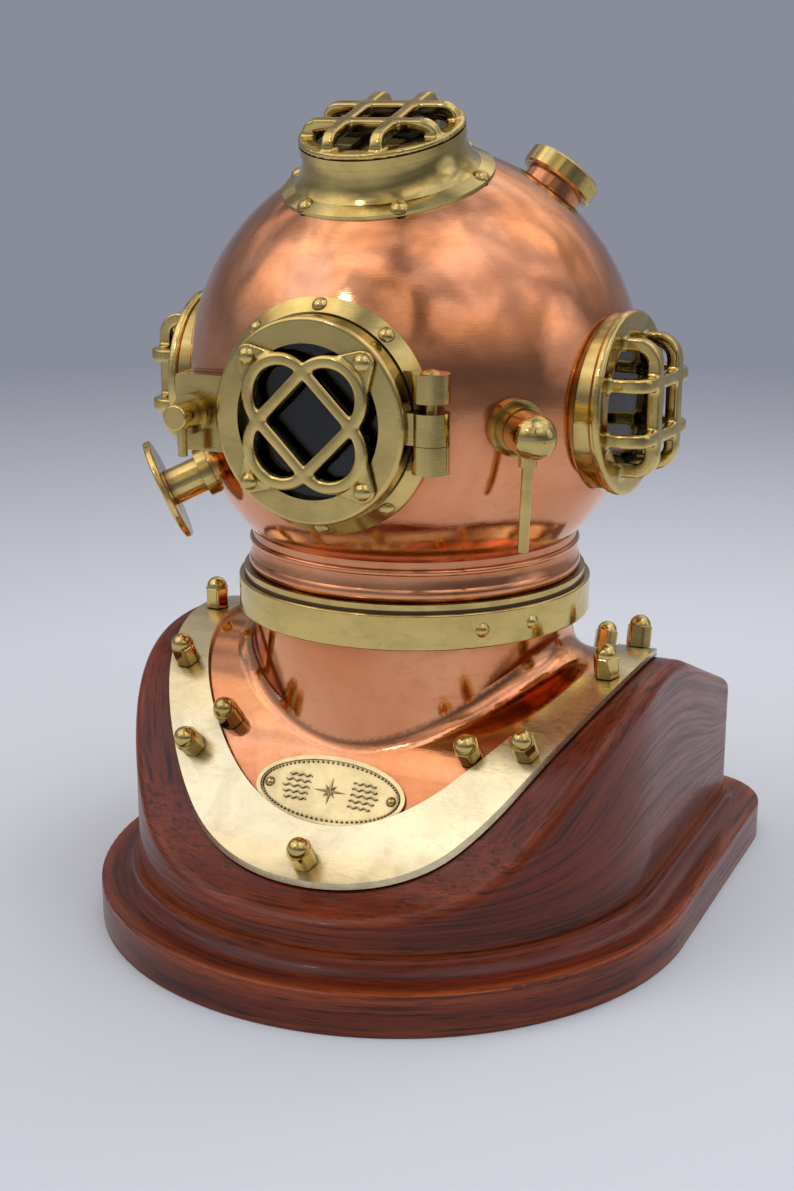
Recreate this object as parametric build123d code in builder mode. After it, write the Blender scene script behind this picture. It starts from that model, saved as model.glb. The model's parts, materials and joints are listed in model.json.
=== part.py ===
"""Copper and brass diving helmet on a wooden saddle stand.

Frame: +Z up, the face window looks towards -Y, +X is the wearer's left.
Origin: underside of the stand, on the vertical axis of the round bonnet.
Units: millimetres and degrees.
"""

import os
from math import cos, radians, sin, sqrt, tan

from build123d import *

os.makedirs("parts", exist_ok=True)

# Driving sizes of the bonnet
bonnet_radius = 160.0
bonnet_wall = 3.0
eye_drop = 8.0
waist_radius = 117.6
waist_rise = 4.51
bead_radius = 120.5
bead_height = 23.0
bead_lip = 2.0
bead_roll = 9.0
bead_back = 1.2
ridge_height = 5.0
ridge_rise = 2.2
ridge_step = 0.6
ridge_hollow = 0.2

# Fits and clearances
braze_gap = 0.15
running_gap = 0.05
slip_gap = 0.3
part_gap = 0.4
nut_gap = 0.6
overrun = 20.0
seam_sink = 0.5

# Wooden stand
ledge_side = 27.0
ledge_front = 30.0
ledge_back = 32.0
plinth_corner = 58.0
plinth_edge = 30.0
plinth_round = 2.5
step_height = 13.0
step_margin = 3.0
cove_radius = 11.0
felt_thickness = 1.5
felt_recess = 0.7
felt_margin = 18.0
block_half_width = 194.0
block_front = 218.0
block_back = 208.0
block_corner = 34.0
block_round = 9.0

# Saddle curve, seen from the side
saddle_crest = 194.0
crest_radius = 164.0
front_slope = 50.0
back_slope = 22.0
foot_reach = 155.0
foot_radius = 113.0
foot_end_slope = 12.0

# Copper breastplate and brass strap
copper_wall = 2.0
strap_wall = 4.0
strap_half_width = 177.0
strap_half_length = 192.0
strap_band_front = 33.0
strap_band_side = 27.0
rim_inset = 3.0
neck_radius = 117.0
neck_fillet = 16.0

# Studs and dome nuts
stud_radius = 4.0
stud_depth = 24.0
nut_flats = 16.6
nut_height = 15.0
nut_chamfer = 0.5
nut_corner = 4.0
nut_bore_depth = 12.0
stud_turns = (0.0, 53.0, 79.0, 103.0, 141.0, 180.0, 219.0, 272.0, 296.0, 317.0)
chest_stud_x = 92.0
chest_stud_y = 111.0

# Name plate, left bare
plate_half_width = 56.0
plate_half_height = 25.0
plate_wall = 2.0
plate_reach = 138.5
plate_border = 3.0
plate_border_step = 0.8
plate_screw_x = 46.0
plate_screw_radius = 3.6
plate_screw_rise = 2.6
plate_screw_shank = 1.5

# Neck ring of the breastplate
ring_radius = 128.0
ring_height = 25.0
neck_rise = 28.0
ring_bore = 113.0
ring_lap = 10.0
ring_round = 1.5
lug_count = 4
lug_angle = 42.0
lug_rise = 5.0
lug_reach = 4.0
lug_below_top = 6.0
ring_screw_turns = (45.0, 63.0, 225.0, 243.0)
ring_screw_radius = 5.0
ring_screw_rise = 2.6
ring_screw_shank = 2.5
ring_screw_length = 6.0
gasket_wall = 2.0

# Collar of the bonnet
collar_bore = 104.0
collar_wall = 4.6
collar_flange_radius = 124.0
collar_flange_wall = 3.85
collar_skirt = 23.0
collar_spigot = 15.0

# Face window and its door
face_bore = 58.0
face_spigot_wall = 3.7
face_flange_radius = 77.0
face_neck_radius = 68.0
face_seat_drop = 8.0
face_foot_wall = 4.0
face_rivet_turns = (50.0, 90.0, 130.0, 230.0, 270.0, 310.0)
rivet_radius = 4.2
rivet_rise = 2.4
door_radius = 67.0
door_wall = 14.0
door_window = 50.0
door_round = 3.0
glass_wall = 5.0
glass_lap = 4.7
retainer_wall = 3.0
retainer_lap = 6.0
face_gasket_bore = 57.0

# Guard over the face window
guard_cross = 33.0
guard_bar = 8.8
guard_wall = 6.5
guard_round = 2.8
guard_screw_circle = 57.0
guard_ear_radius = 8.0
guard_ear_wall = 4.0
guard_ear_spread = 50.0
guard_screw_radius = 6.0
guard_screw_rise = 4.2
guard_screw_shank = 2.5
guard_screw_length = 6.0

# Hinge of the door
hinge_x = 79.5
knuckle_radius = 12.0
knuckle_height = 20.0
side_knuckle_height = 18.0
pin_radius = 4.0
pin_head_radius = 6.5
pin_head_rise = 2.5
hinge_leaf_wall = 9.0
hinge_leaf_root = 20.0
door_swing_gap = 0.8
pin_show = 6.0

# Latch of the door
latch_x = 84.0
latch_height = 50.0
latch_end = 98.0
latch_wall = 10.0
latch_round = 3.0
latch_lug_depth = 15.0
latch_root = 58.0
latch_boss_radius = 13.0
latch_boss_rise = 7.0
screw_radius = 5.0
screw_tip_radius = 4.0
screw_tip = 7.0
screw_tip_gap = 0.9
knob_radius = 8.5
knob_rise = 19.0
knob_round = 1.5
lever_rod_radius = 3.2
lever_rod_length = 26.0
lever_rod_height = 9.0

# Side windows
side_turn = 4.0
side_bore = 44.0
side_spigot_wall = 5.6
side_glass_lap = 4.0
side_spigot_depth = 10.0
side_radius = 60.0
side_seat_drop = 2.0
side_ring_radius = 62.5
side_ring_wall = 8.0
side_ring_round = 2.5
cage_radius = 50.0
cage_rise = 26.0
cage_corner = 17.0
cage_bar = 9.4
cage_pitch = 18.0

# Top window
top_tilt = 18.0
top_bore = 44.0
top_spigot_wall = 3.6
top_foot_radius = 72.0
top_foot_wall = 2.2
top_rim_radius = 56.0
top_rim_rise = 16.0
top_rim_wall = 6.0
top_band_radius = 63.0
top_neck_step = 1.0
top_flare_share = 0.36
top_rivet_count = 6
top_rivet_circle = 67.5
top_bar = 8.6
top_bar_pitch = 17.0
top_bar_rise = 15.0
top_bar_corner = 12.0
top_bar_inset = 2.0

# Rear ports
port_turn = 134.0
port_up_angle = 51.0
port_hole = 12.0
boss_radius = 22.0
boss_height = 8.0
cap_radius = 28.0
cap_height = 14.0
cap_chamfer = 1.5
cap_spigot = 11.0
cap_spigot_depth = 10.0

# Exhaust valve
exhaust_turn = -58.0
exhaust_up_angle = -24.0
exhaust_collar_radius = 17.5
exhaust_collar_height = 7.0
exhaust_radius = 13.0
exhaust_bore = 9.5
exhaust_length = 24.0
wheel_radius = 37.0
wheel_wall = 5.0
wheel_dish = 1.5
wheel_spigot = 12.0
stem_radius = 2.5
stem_travel = 4.0
poppet_radius = 8.0
poppet_wall = 2.5
chin_radius = 14.0
chin_wall = 4.0
chin_reach = 22.0

# Spit cock
cock_turn = 47.0
cock_up_angle = -4.0
cock_foot_radius = 18.5
cock_foot_height = 6.0
cock_radius = 15.5
cock_body_length = 9.0
cock_plug_radius = 14.5
cock_plug_length = 14.0
cock_spindle_radius = 6.0
cock_spindle_length = 10.0
cock_hole = 5.0
cock_rod_radius = 3.6
cock_rod_length = 62.0
cock_collar_radius = 6.0
cock_collar_height = 6.0

# Derived levels and planes
plinth_half_width = block_half_width + ledge_side
plinth_front = block_front + ledge_front
plinth_back = block_back + ledge_back
ring_foot = saddle_crest + neck_rise
ring_top = ring_foot + ring_height
gasket_top = ring_top + gasket_wall
shell_foot = gasket_top + collar_flange_wall + braze_gap
bead_top = shell_foot + bead_height
waist_level = bead_top + waist_rise
bonnet_height = waist_level + sqrt(bonnet_radius**2 - waist_radius**2)
eye_height = bonnet_height - eye_drop
face_seat = bonnet_radius - face_seat_drop
side_seat = bonnet_radius - side_seat_drop
top_rim_height = bonnet_radius + top_rim_rise
door_back = face_seat + gasket_wall
door_front = door_back + door_wall
clear_ball = bonnet_radius + braze_gap
nut_round = nut_flats / 2
centre = Vector(0, 0, bonnet_height)

face_port = Plane(origin=(0, 0, eye_height), x_dir=(1, 0, 0), z_dir=(0, -1, 0))
left_port = Plane(
    origin=(0, 0, eye_height),
    x_dir=(sin(radians(side_turn)), cos(radians(side_turn)), 0),
    z_dir=(cos(radians(side_turn)), -sin(radians(side_turn)), 0),
)
right_port = Plane(
    origin=(0, 0, eye_height),
    x_dir=(sin(radians(side_turn)), -cos(radians(side_turn)), 0),
    z_dir=(-cos(radians(side_turn)), -sin(radians(side_turn)), 0),
)
top_port = Plane(
    origin=centre,
    x_dir=(1, 0, 0),
    z_dir=(0, -sin(radians(top_tilt)), cos(radians(top_tilt))),
)
side_ports = {"left": left_port, "right": right_port}


def radial_port(turn, rise):
    """Plane through the bonnet's centre that looks outward along one direction."""
    a, e = radians(turn), radians(rise)
    return Plane(
        origin=centre,
        x_dir=(cos(a), sin(a), 0),
        z_dir=(sin(a) * cos(e), -cos(a) * cos(e), sin(e)),
    )


def section(port):
    """Section plane of a port: x is the radius, y is the distance outward."""
    return Plane(origin=port.origin, x_dir=port.x_dir, z_dir=port.y_dir * -1)


def turned(port, turn):
    """The same port, turned about its outward axis."""
    a = radians(turn)
    return Plane(
        origin=port.origin,
        x_dir=port.x_dir * cos(a) + port.y_dir * sin(a),
        z_dir=port.z_dir,
    )


def axis_of(port):
    """Outward axis of a port."""
    return Axis(port.origin, port.z_dir)


def ring_face(*points):
    """Closed outline through section points."""
    with BuildSketch() as sketch:
        with BuildLine():
            Polyline(*points, close=True)
        make_face()
    return sketch.sketch


def rounded_plan(half_width, front, back, corner):
    """Plan of the stand: half round at the front, straight sides, rounded rear corners."""
    side = half_width - front
    square = corner * (1 - sqrt(0.5))
    with BuildSketch() as sketch:
        with BuildLine():
            Line((half_width, side), (half_width, back - corner))
            ThreePointArc(
                (half_width, back - corner),
                (half_width - square, back - square),
                (half_width - corner, back),
            )
            Line((half_width - corner, back), (corner - half_width, back))
            ThreePointArc(
                (corner - half_width, back),
                (square - half_width, back - square),
                (-half_width, back - corner),
            )
            Line((-half_width, back - corner), (-half_width, side))
            ThreePointArc((-half_width, side), (0, -front), (half_width, side))
        make_face()
    return sketch.sketch


def crest_point(slope, lift):
    """Point of the crest arc, as (Y, Z), where the side view has this slope."""
    r = crest_radius + lift
    a = radians(slope)
    return (r * sin(a), saddle_crest - crest_radius + r * cos(a))


def foot_point(slope, lift):
    """Point of the concave front foot of the saddle, as (Y, Z)."""
    a = radians(front_slope)
    top_y, top_z = crest_point(-front_slope, 0)
    start_z = top_z - (foot_reach + top_y) * tan(a)
    hub_y = -foot_reach - foot_radius * sin(a)
    hub_z = start_z + foot_radius * cos(a)
    b = radians(slope)
    r = foot_radius - lift
    return (hub_y + r * sin(b), hub_z - r * cos(b))


def saddle_under(lift):
    """Side view of all that lies under the saddle curve, lifted along its normal."""
    back_arc = crest_point(back_slope, lift)
    front_arc = crest_point(-front_slope, lift)
    foot_start = foot_point(front_slope, lift)
    foot_end = foot_point(foot_end_slope, lift)
    back_run = plinth_back + overrun - back_arc[0]
    back_far = (plinth_back + overrun, back_arc[1] - back_run * tan(radians(back_slope)))
    front_run = plinth_front + overrun + foot_end[0]
    front_far = (
        -plinth_front - overrun,
        foot_end[1] - front_run * tan(radians(foot_end_slope)),
    )
    with BuildSketch() as sketch:
        with BuildLine():
            Line(back_far, back_arc)
            ThreePointArc(back_arc, crest_point(0, lift), front_arc)
            Line(front_arc, foot_start)
            ThreePointArc(
                foot_start,
                foot_point((front_slope + foot_end_slope) / 2, lift),
                foot_end,
            )
            Line(foot_end, front_far)
            Line(front_far, (front_far[0], 0))
            Line((front_far[0], 0), (back_far[0], 0))
            Line((back_far[0], 0), back_far)
        make_face()
    return sketch.sketch


def saddle_seat(x, y, lift):
    """Plane that lies on the saddle at a plan position, lifted along the normal."""
    front_arc_y = crest_point(-front_slope, 0)[0]
    back_arc_y, back_arc_z = crest_point(back_slope, 0)
    if y < -foot_reach:
        a = sin(radians(front_slope)) - (-foot_reach - y) / foot_radius
        hub_z = foot_point(front_slope, 0)[1] + foot_radius * cos(radians(front_slope))
        height = hub_z - foot_radius * sqrt(1 - a * a)
        normal = (0, -a, sqrt(1 - a * a))
    elif y < front_arc_y:
        slope = radians(front_slope)
        height = crest_point(-front_slope, 0)[1] + (y - front_arc_y) * tan(slope)
        normal = (0, -sin(slope), cos(slope))
    elif y < back_arc_y:
        a = y / crest_radius
        height = saddle_crest - crest_radius + crest_radius * sqrt(1 - a * a)
        normal = (0, a, sqrt(1 - a * a))
    else:
        slope = radians(back_slope)
        height = back_arc_z - (y - back_arc_y) * tan(slope)
        normal = (0, sin(slope), cos(slope))
    return Plane(
        origin=Vector(x, y, height) + Vector(*normal) * lift,
        x_dir=(1, 0, 0),
        z_dir=normal,
    )


def strap_seats(lift):
    """Stud places along the middle line of the strap."""
    a = strap_half_width - strap_band_side / 2
    b = strap_half_length - strap_band_front / 2
    return [
        saddle_seat(a * sin(radians(t)), -b * cos(radians(t)), lift) for t in stud_turns
    ]


def chest_seats(lift):
    """Places of the two studs on the copper chest."""
    return [saddle_seat(s * chest_stud_x, -chest_stud_y, lift) for s in (1, -1)]


def domed_head(radius, rise):
    """Round screw or rivet head, flat side on the local floor."""
    ball = (radius * radius + rise * rise) / (2 * rise)
    with BuildPart() as head:
        with BuildSketch(Plane.XZ):
            with BuildLine():
                Line((0, 0), (radius, 0))
                RadiusArc((radius, 0), (0, rise), -ball)
                Line((0, rise), (0, 0))
            make_face()
        revolve(axis=Axis.Z)
    return head.part


def ring_places(port, circle, level, count, start):
    """Places on a circle round a port's axis, each looking outward like the port."""
    places = []
    for i in range(count):
        t = radians(start + 360 * i / count)
        at = port.origin + port.x_dir * (circle * cos(t)) + port.y_dir * (circle * sin(t))
        places.append(Plane(origin=at + port.z_dir * level, x_dir=port.x_dir, z_dir=port.z_dir))
    return places


def rivet_places(port, circle, wall, count, start):
    """Places round a port on the ball, each looking straight out from its centre."""
    places = []
    for flat in ring_places(port, circle, 0, count, start):
        off = flat.origin - centre
        along = off.dot(port.z_dir)
        reach = bonnet_radius + wall
        step = -along + sqrt(along * along - off.dot(off) + reach * reach)
        foot = flat.origin + port.z_dir * step
        places.append(Plane(origin=foot, z_dir=foot - centre))
    return places


# Plinth with its stepped top and hollow moulding
with BuildPart() as plinth:
    with BuildSketch(Plane.XY.offset(felt_recess)):
        add(rounded_plan(plinth_half_width, plinth_front, plinth_back, plinth_corner))
    extrude(amount=plinth_edge - felt_recess)
    with BuildSketch(Plane.XY.offset(plinth_edge)):
        add(
            rounded_plan(
                block_half_width + step_margin,
                block_front + step_margin,
                block_back + step_margin,
                block_corner + step_margin,
            )
        )
    extrude(amount=step_height)
    ledge = plinth.faces().filter_by(lambda f: len(f.inner_wires()) > 0)[0]
    fillet(ledge.inner_wires()[0].edges(), radius=cove_radius)
    ledge = plinth.faces().filter_by(lambda f: len(f.inner_wires()) > 0)[0]
    fillet(ledge.outer_wire().edges(), radius=plinth_round)
    plinth_plan = rounded_plan(
        plinth_half_width - felt_margin,
        plinth_front - felt_margin,
        plinth_back - felt_margin,
        plinth_corner - felt_margin,
    )
    with BuildSketch(Plane.XY.offset(felt_recess)):
        add(plinth_plan)
    extrude(amount=felt_thickness - felt_recess, mode=Mode.SUBTRACT)
plinth.part.label = "plinth"
export_step(plinth.part, "parts/plinth.step")

# Felt sheet let into the underside
with BuildPart() as base_felt:
    with BuildSketch():
        add(plinth_plan)
    extrude(amount=felt_thickness)
base_felt.part.label = "base_felt"
export_step(base_felt.part, "parts/base_felt.step")

# Saddle block under the breastplate
with BuildPart() as saddle_block:
    with BuildSketch(Plane.YZ):
        add(saddle_under(0))
    extrude(amount=block_half_width + overrun, both=True)
    with BuildSketch(Plane.XY.offset(plinth_edge + step_height)):
        add(rounded_plan(block_half_width, block_front, block_back, block_corner))
    extrude(amount=saddle_crest, mode=Mode.INTERSECT)
    level = cos(radians(foot_end_slope))
    shoulder = saddle_block.edges().filter_by(
        lambda e: e.center().Z > plinth_edge + step_height + seam_sink
        and abs(e.tangent_at(0.5).Z) < level
        and (abs(e.tangent_at(0.5).X) < level or e.center().Y > block_back - seam_sink)
    )
    fillet(shoulder, radius=block_round)
    with Locations(*strap_seats(0), *chest_seats(0)):
        Cylinder(stud_radius + slip_gap, 2 * stud_depth, mode=Mode.SUBTRACT)
saddle_block.part.label = "saddle_block"
export_step(saddle_block.part, "parts/saddle_block.step")

# Hollow that the copper sheet wraps round
with BuildPart() as breast_core:
    with BuildSketch(Plane.YZ):
        add(saddle_under(0))
    extrude(amount=block_half_width + overrun, both=True)
    with BuildSketch(Plane.XY.offset(saddle_crest - crest_radius)):
        Circle(neck_radius - copper_wall)
    extrude(amount=ring_foot + ring_lap + overrun - saddle_crest + crest_radius)
    fillet(
        breast_core.edges(Select.NEW).filter_by(
            lambda e: e.center().Z < ring_foot
        ),
        radius=neck_fillet + copper_wall,
    )

# Copper breastplate: rim, chest, shoulders and neck in one sheet
with BuildPart() as breastplate:
    with BuildSketch(Plane.YZ):
        add(saddle_under(copper_wall))
    extrude(amount=block_half_width + overrun, both=True)
    with BuildSketch():
        Ellipse(strap_half_width - rim_inset, strap_half_length - rim_inset)
    extrude(amount=saddle_crest + overrun, mode=Mode.INTERSECT)
    with BuildSketch(Plane.XY.offset(saddle_crest - crest_radius)):
        Circle(neck_radius)
    extrude(amount=ring_foot + ring_lap - saddle_crest + crest_radius)
    fillet(
        breastplate.edges(Select.NEW).filter_by(lambda e: e.center().Z < ring_foot),
        radius=neck_fillet,
    )
    add(breast_core.part, mode=Mode.SUBTRACT)
    with Locations(*strap_seats(0), *chest_seats(0)):
        Cylinder(stud_radius + slip_gap, 2 * stud_depth, mode=Mode.SUBTRACT)
breastplate.part.label = "breastplate"
export_step(breastplate.part, "parts/breastplate.step")

# Brass strap clamped on the rim
with BuildPart() as brail_strap:
    with BuildSketch(Plane.YZ):
        add(saddle_under(copper_wall + strap_wall))
    extrude(amount=block_half_width + overrun, both=True)
    with BuildSketch(Plane.YZ):
        add(saddle_under(copper_wall))
    extrude(amount=block_half_width + 2 * overrun, both=True, mode=Mode.SUBTRACT)
    with BuildSketch():
        Ellipse(strap_half_width, strap_half_length)
        Ellipse(
            strap_half_width - strap_band_side,
            strap_half_length - strap_band_front,
            mode=Mode.SUBTRACT,
        )
    extrude(amount=saddle_crest + overrun, mode=Mode.INTERSECT)
    with Locations(*strap_seats(0)):
        Cylinder(stud_radius + slip_gap, 2 * stud_depth, mode=Mode.SUBTRACT)
brail_strap.part.label = "brail_strap"
export_step(brail_strap.part, "parts/brail_strap.step")

# One dome nut and one stud, then all of them in their places
strap_level = copper_wall + strap_wall + nut_gap
nut_bore = stud_radius + slip_gap
with BuildPart() as dome_nut:
    with BuildSketch():
        hexagon = RegularPolygon(nut_flats / 2, 6, major_radius=False)
        fillet(hexagon.vertices(), radius=nut_corner)
    extrude(amount=nut_height)
    chamfer(dome_nut.faces().sort_by(Axis.Z)[-1].edges(), length=nut_chamfer)
    with Locations((0, 0, nut_height)):
        Sphere(nut_round - nut_chamfer)
    with Locations((0, 0, nut_height)):
        Cylinder(
            nut_round - nut_chamfer,
            nut_height,
            align=(Align.CENTER, Align.CENTER, Align.MAX),
        )
    Cylinder(
        nut_bore,
        2 * nut_bore_depth,
        mode=Mode.SUBTRACT,
    )

with BuildPart() as strap_stud:
    Cylinder(
        stud_radius,
        stud_depth + strap_level + nut_bore_depth - slip_gap,
        align=(Align.CENTER, Align.CENTER, Align.MIN),
    )

with BuildPart() as chest_stud:
    Cylinder(
        stud_radius,
        stud_depth + copper_wall + nut_gap + nut_bore_depth - slip_gap,
        align=(Align.CENTER, Align.CENTER, Align.MIN),
    )

with BuildPart() as brail_nuts:
    with Locations(*strap_seats(strap_level)):
        add(dome_nut.part)
brail_nuts.part.label = "brail_nuts"
export_step(brail_nuts.part, "parts/brail_nuts.step")

with BuildPart() as brail_studs:
    with Locations(*strap_seats(-stud_depth)):
        add(strap_stud.part)
brail_studs.part.label = "brail_studs"
export_step(brail_studs.part, "parts/brail_studs.step")

with BuildPart() as chest_nuts:
    with Locations(*chest_seats(copper_wall + nut_gap)):
        add(dome_nut.part)
chest_nuts.part.label = "chest_nuts"
export_step(chest_nuts.part, "parts/chest_nuts.step")

with BuildPart() as chest_studs:
    with Locations(*chest_seats(-stud_depth)):
        add(chest_stud.part)
chest_studs.part.label = "chest_studs"
export_step(chest_studs.part, "parts/chest_studs.step")

# Oval plate on the chest, bare, with a raised border
plate_seat = saddle_seat(0, -plate_reach, copper_wall + slip_gap)
with BuildPart() as nameplate:
    with BuildSketch(plate_seat):
        Ellipse(plate_half_width, plate_half_height)
    extrude(amount=plate_wall)
    with BuildSketch(plate_seat.offset(plate_wall)):
        Ellipse(plate_half_width - plate_border, plate_half_height - plate_border)
    extrude(amount=-plate_border_step, mode=Mode.SUBTRACT)
    with BuildSketch(plate_seat):
        with Locations((plate_screw_x, 0), (-plate_screw_x, 0)):
            Circle(plate_screw_shank + running_gap)
    extrude(amount=plate_wall, mode=Mode.SUBTRACT)
nameplate.part.label = "nameplate"
export_step(nameplate.part, "parts/nameplate.step")

plate_floor = plate_wall - plate_border_step
with BuildPart() as nameplate_screws:
    for side in (1, -1):
        spot = saddle_seat(
            side * plate_screw_x, -plate_reach, copper_wall + slip_gap + plate_floor
        )
        with Locations(spot):
            add(domed_head(plate_screw_radius, plate_screw_rise))
            Cylinder(
                plate_screw_shank,
                plate_floor,
                align=(Align.CENTER, Align.CENTER, Align.MAX),
            )
nameplate_screws.part.label = "nameplate_screws"
export_step(nameplate_screws.part, "parts/nameplate_screws.step")

# Neck ring with inner bayonet lugs
with BuildPart() as neck_ring:
    with BuildSketch(Plane.XZ):
        add(
            ring_face(
                (neck_radius + braze_gap, ring_foot),
                (ring_radius, ring_foot),
                (ring_radius, ring_top),
                (ring_bore, ring_top),
                (ring_bore, ring_foot + ring_lap + braze_gap),
                (neck_radius + braze_gap, ring_foot + ring_lap + braze_gap),
            )
        )
    revolve(axis=Axis.Z)
    fillet(
        neck_ring.edges().filter_by(
            lambda e: e.geom_type == GeomType.CIRCLE and e.radius > ring_radius - seam_sink
        ),
        radius=ring_round,
    )
    lug_top = ring_top - lug_below_top
    with BuildSketch(Plane.XZ):
        add(
            ring_face(
                (ring_bore - lug_reach, lug_top - lug_rise),
                (ring_bore + seam_sink, lug_top - lug_rise),
                (ring_bore + seam_sink, lug_top),
                (ring_bore - lug_reach, lug_top),
            )
        )
    ring_lug = revolve(axis=Axis.Z, revolution_arc=lug_angle, mode=Mode.PRIVATE)
    for i in range(lug_count):
        add(ring_lug.rotate(Axis.Z, 360 * i / lug_count))
    for turn in ring_screw_turns:
        a = radians(turn)
        spot = Plane(
            origin=(ring_radius * sin(a), -ring_radius * cos(a), (ring_foot + ring_top) / 2),
            z_dir=(sin(a), -cos(a), 0),
        )
        with Locations(spot):
            Cylinder(
                ring_screw_shank + running_gap,
                ring_screw_length,
                align=(Align.CENTER, Align.CENTER, Align.MAX),
                mode=Mode.SUBTRACT,
            )
neck_ring.part.label = "neck_ring"
export_step(neck_ring.part, "parts/neck_ring.step")

# Round-headed screws of the neck ring
with BuildPart() as neck_ring_screws:
    for turn in ring_screw_turns:
        a = radians(turn)
        out = Vector(sin(a), -cos(a), 0)
        mid = Vector(0, 0, (ring_foot + ring_top) / 2)
        with Locations(Plane(origin=mid + out * (ring_radius + running_gap), z_dir=out)):
            add(domed_head(ring_screw_radius, ring_screw_rise))
            Cylinder(
                ring_screw_shank,
                ring_screw_length - slip_gap,
                align=(Align.CENTER, Align.CENTER, Align.MAX),
            )
neck_ring_screws.part.label = "neck_ring_screws"
export_step(neck_ring_screws.part, "parts/neck_ring_screws.step")

# Leather washer between the two rings
with BuildPart() as neck_gasket:
    with BuildSketch(Plane.XY.offset(ring_top)):
        Circle(collar_flange_radius)
        Circle(ring_bore, mode=Mode.SUBTRACT)
    extrude(amount=gasket_wall)
neck_gasket.part.label = "neck_gasket"
export_step(neck_gasket.part, "parts/neck_gasket.step")

# Brass collar of the bonnet with its outer lugs
collar_outer = collar_bore + collar_wall
collar_fit = waist_radius - bonnet_wall - braze_gap
with BuildPart() as bonnet_collar:
    with BuildSketch(Plane.XZ):
        add(
            ring_face(
                (collar_bore, gasket_top - collar_skirt),
                (collar_outer, gasket_top - collar_skirt),
                (collar_outer, gasket_top),
                (collar_flange_radius, gasket_top),
                (collar_flange_radius, gasket_top + collar_flange_wall),
                (collar_fit, gasket_top + collar_flange_wall),
                (collar_fit, gasket_top + collar_flange_wall + collar_spigot),
                (collar_bore, gasket_top + collar_flange_wall + collar_spigot),
            )
        )
    revolve(axis=Axis.Z)
    collar_lug_top = lug_top - lug_rise - part_gap
    with BuildSketch(Plane.XZ):
        add(
            ring_face(
                (collar_outer - seam_sink, collar_lug_top - lug_rise),
                (ring_bore - part_gap, collar_lug_top - lug_rise),
                (ring_bore - part_gap, collar_lug_top),
                (collar_outer - seam_sink, collar_lug_top),
            )
        )
    collar_lug = revolve(axis=Axis.Z, revolution_arc=lug_angle, mode=Mode.PRIVATE)
    for i in range(lug_count):
        add(collar_lug.rotate(Axis.Z, 360 * i / lug_count))
bonnet_collar.part.label = "bonnet_collar"
export_step(bonnet_collar.part, "parts/bonnet_collar.step")

# Copper bonnet: ball, waist and rolled foot, with its openings
inner_radius = bonnet_radius - bonnet_wall
inner_waist = waist_radius - bonnet_wall
inner_level = bonnet_height - sqrt(inner_radius**2 - inner_waist**2)
air_port = radial_port(port_turn, port_up_angle)
phone_port = radial_port(-port_turn, port_up_angle)
exhaust_port = radial_port(exhaust_turn, exhaust_up_angle)
cock_port = radial_port(cock_turn, cock_up_angle)
face_hole = face_bore + face_spigot_wall + braze_gap
side_hole = side_bore + side_spigot_wall + braze_gap
with BuildPart() as bonnet_shell:
    with BuildSketch(Plane.XZ):
        with BuildLine():
            ThreePointArc(
                (0, bonnet_height + bonnet_radius),
                (bonnet_radius, bonnet_height),
                (waist_radius, waist_level),
            )
            Line((waist_radius, waist_level), (waist_radius, bead_top))
            ridge_foot = bead_top - ridge_height
            roll_top = shell_foot + bead_roll
            ThreePointArc(
                (waist_radius, bead_top),
                (waist_radius + ridge_rise, (bead_top + ridge_foot) / 2),
                (waist_radius + ridge_step, ridge_foot),
            )
            ThreePointArc(
                (waist_radius + ridge_step, ridge_foot),
                (waist_radius + ridge_step + ridge_hollow, (ridge_foot + roll_top) / 2),
                (bead_radius - bead_back, roll_top),
            )
            ThreePointArc(
                (bead_radius - bead_back, roll_top),
                (bead_radius, shell_foot + bead_roll / 2),
                (bead_radius - bead_lip, shell_foot),
            )
            Polyline(
                (bead_radius - bead_lip, shell_foot),
                (inner_waist, shell_foot),
                (inner_waist, inner_level),
            )
            ThreePointArc(
                (inner_waist, inner_level),
                (inner_radius, bonnet_height),
                (0, bonnet_height + inner_radius),
            )
            Line((0, bonnet_height + inner_radius), (0, bonnet_height + bonnet_radius))
        make_face()
    revolve(axis=Axis.Z)
    drill = (Align.CENTER, Align.CENTER, Align.MIN)
    for port, hole in (
        (face_port, face_hole),
        (left_port, side_hole),
        (right_port, side_hole),
        (top_port, top_bore + top_spigot_wall + braze_gap),
        (air_port, port_hole),
        (phone_port, port_hole),
        (exhaust_port, exhaust_bore),
        (cock_port, cock_hole),
    ):
        with Locations(port):
            Cylinder(hole, bonnet_radius + overrun, align=drill, mode=Mode.SUBTRACT)
bonnet_shell.part.label = "bonnet_shell"
export_step(bonnet_shell.part, "parts/bonnet_shell.step")

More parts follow.
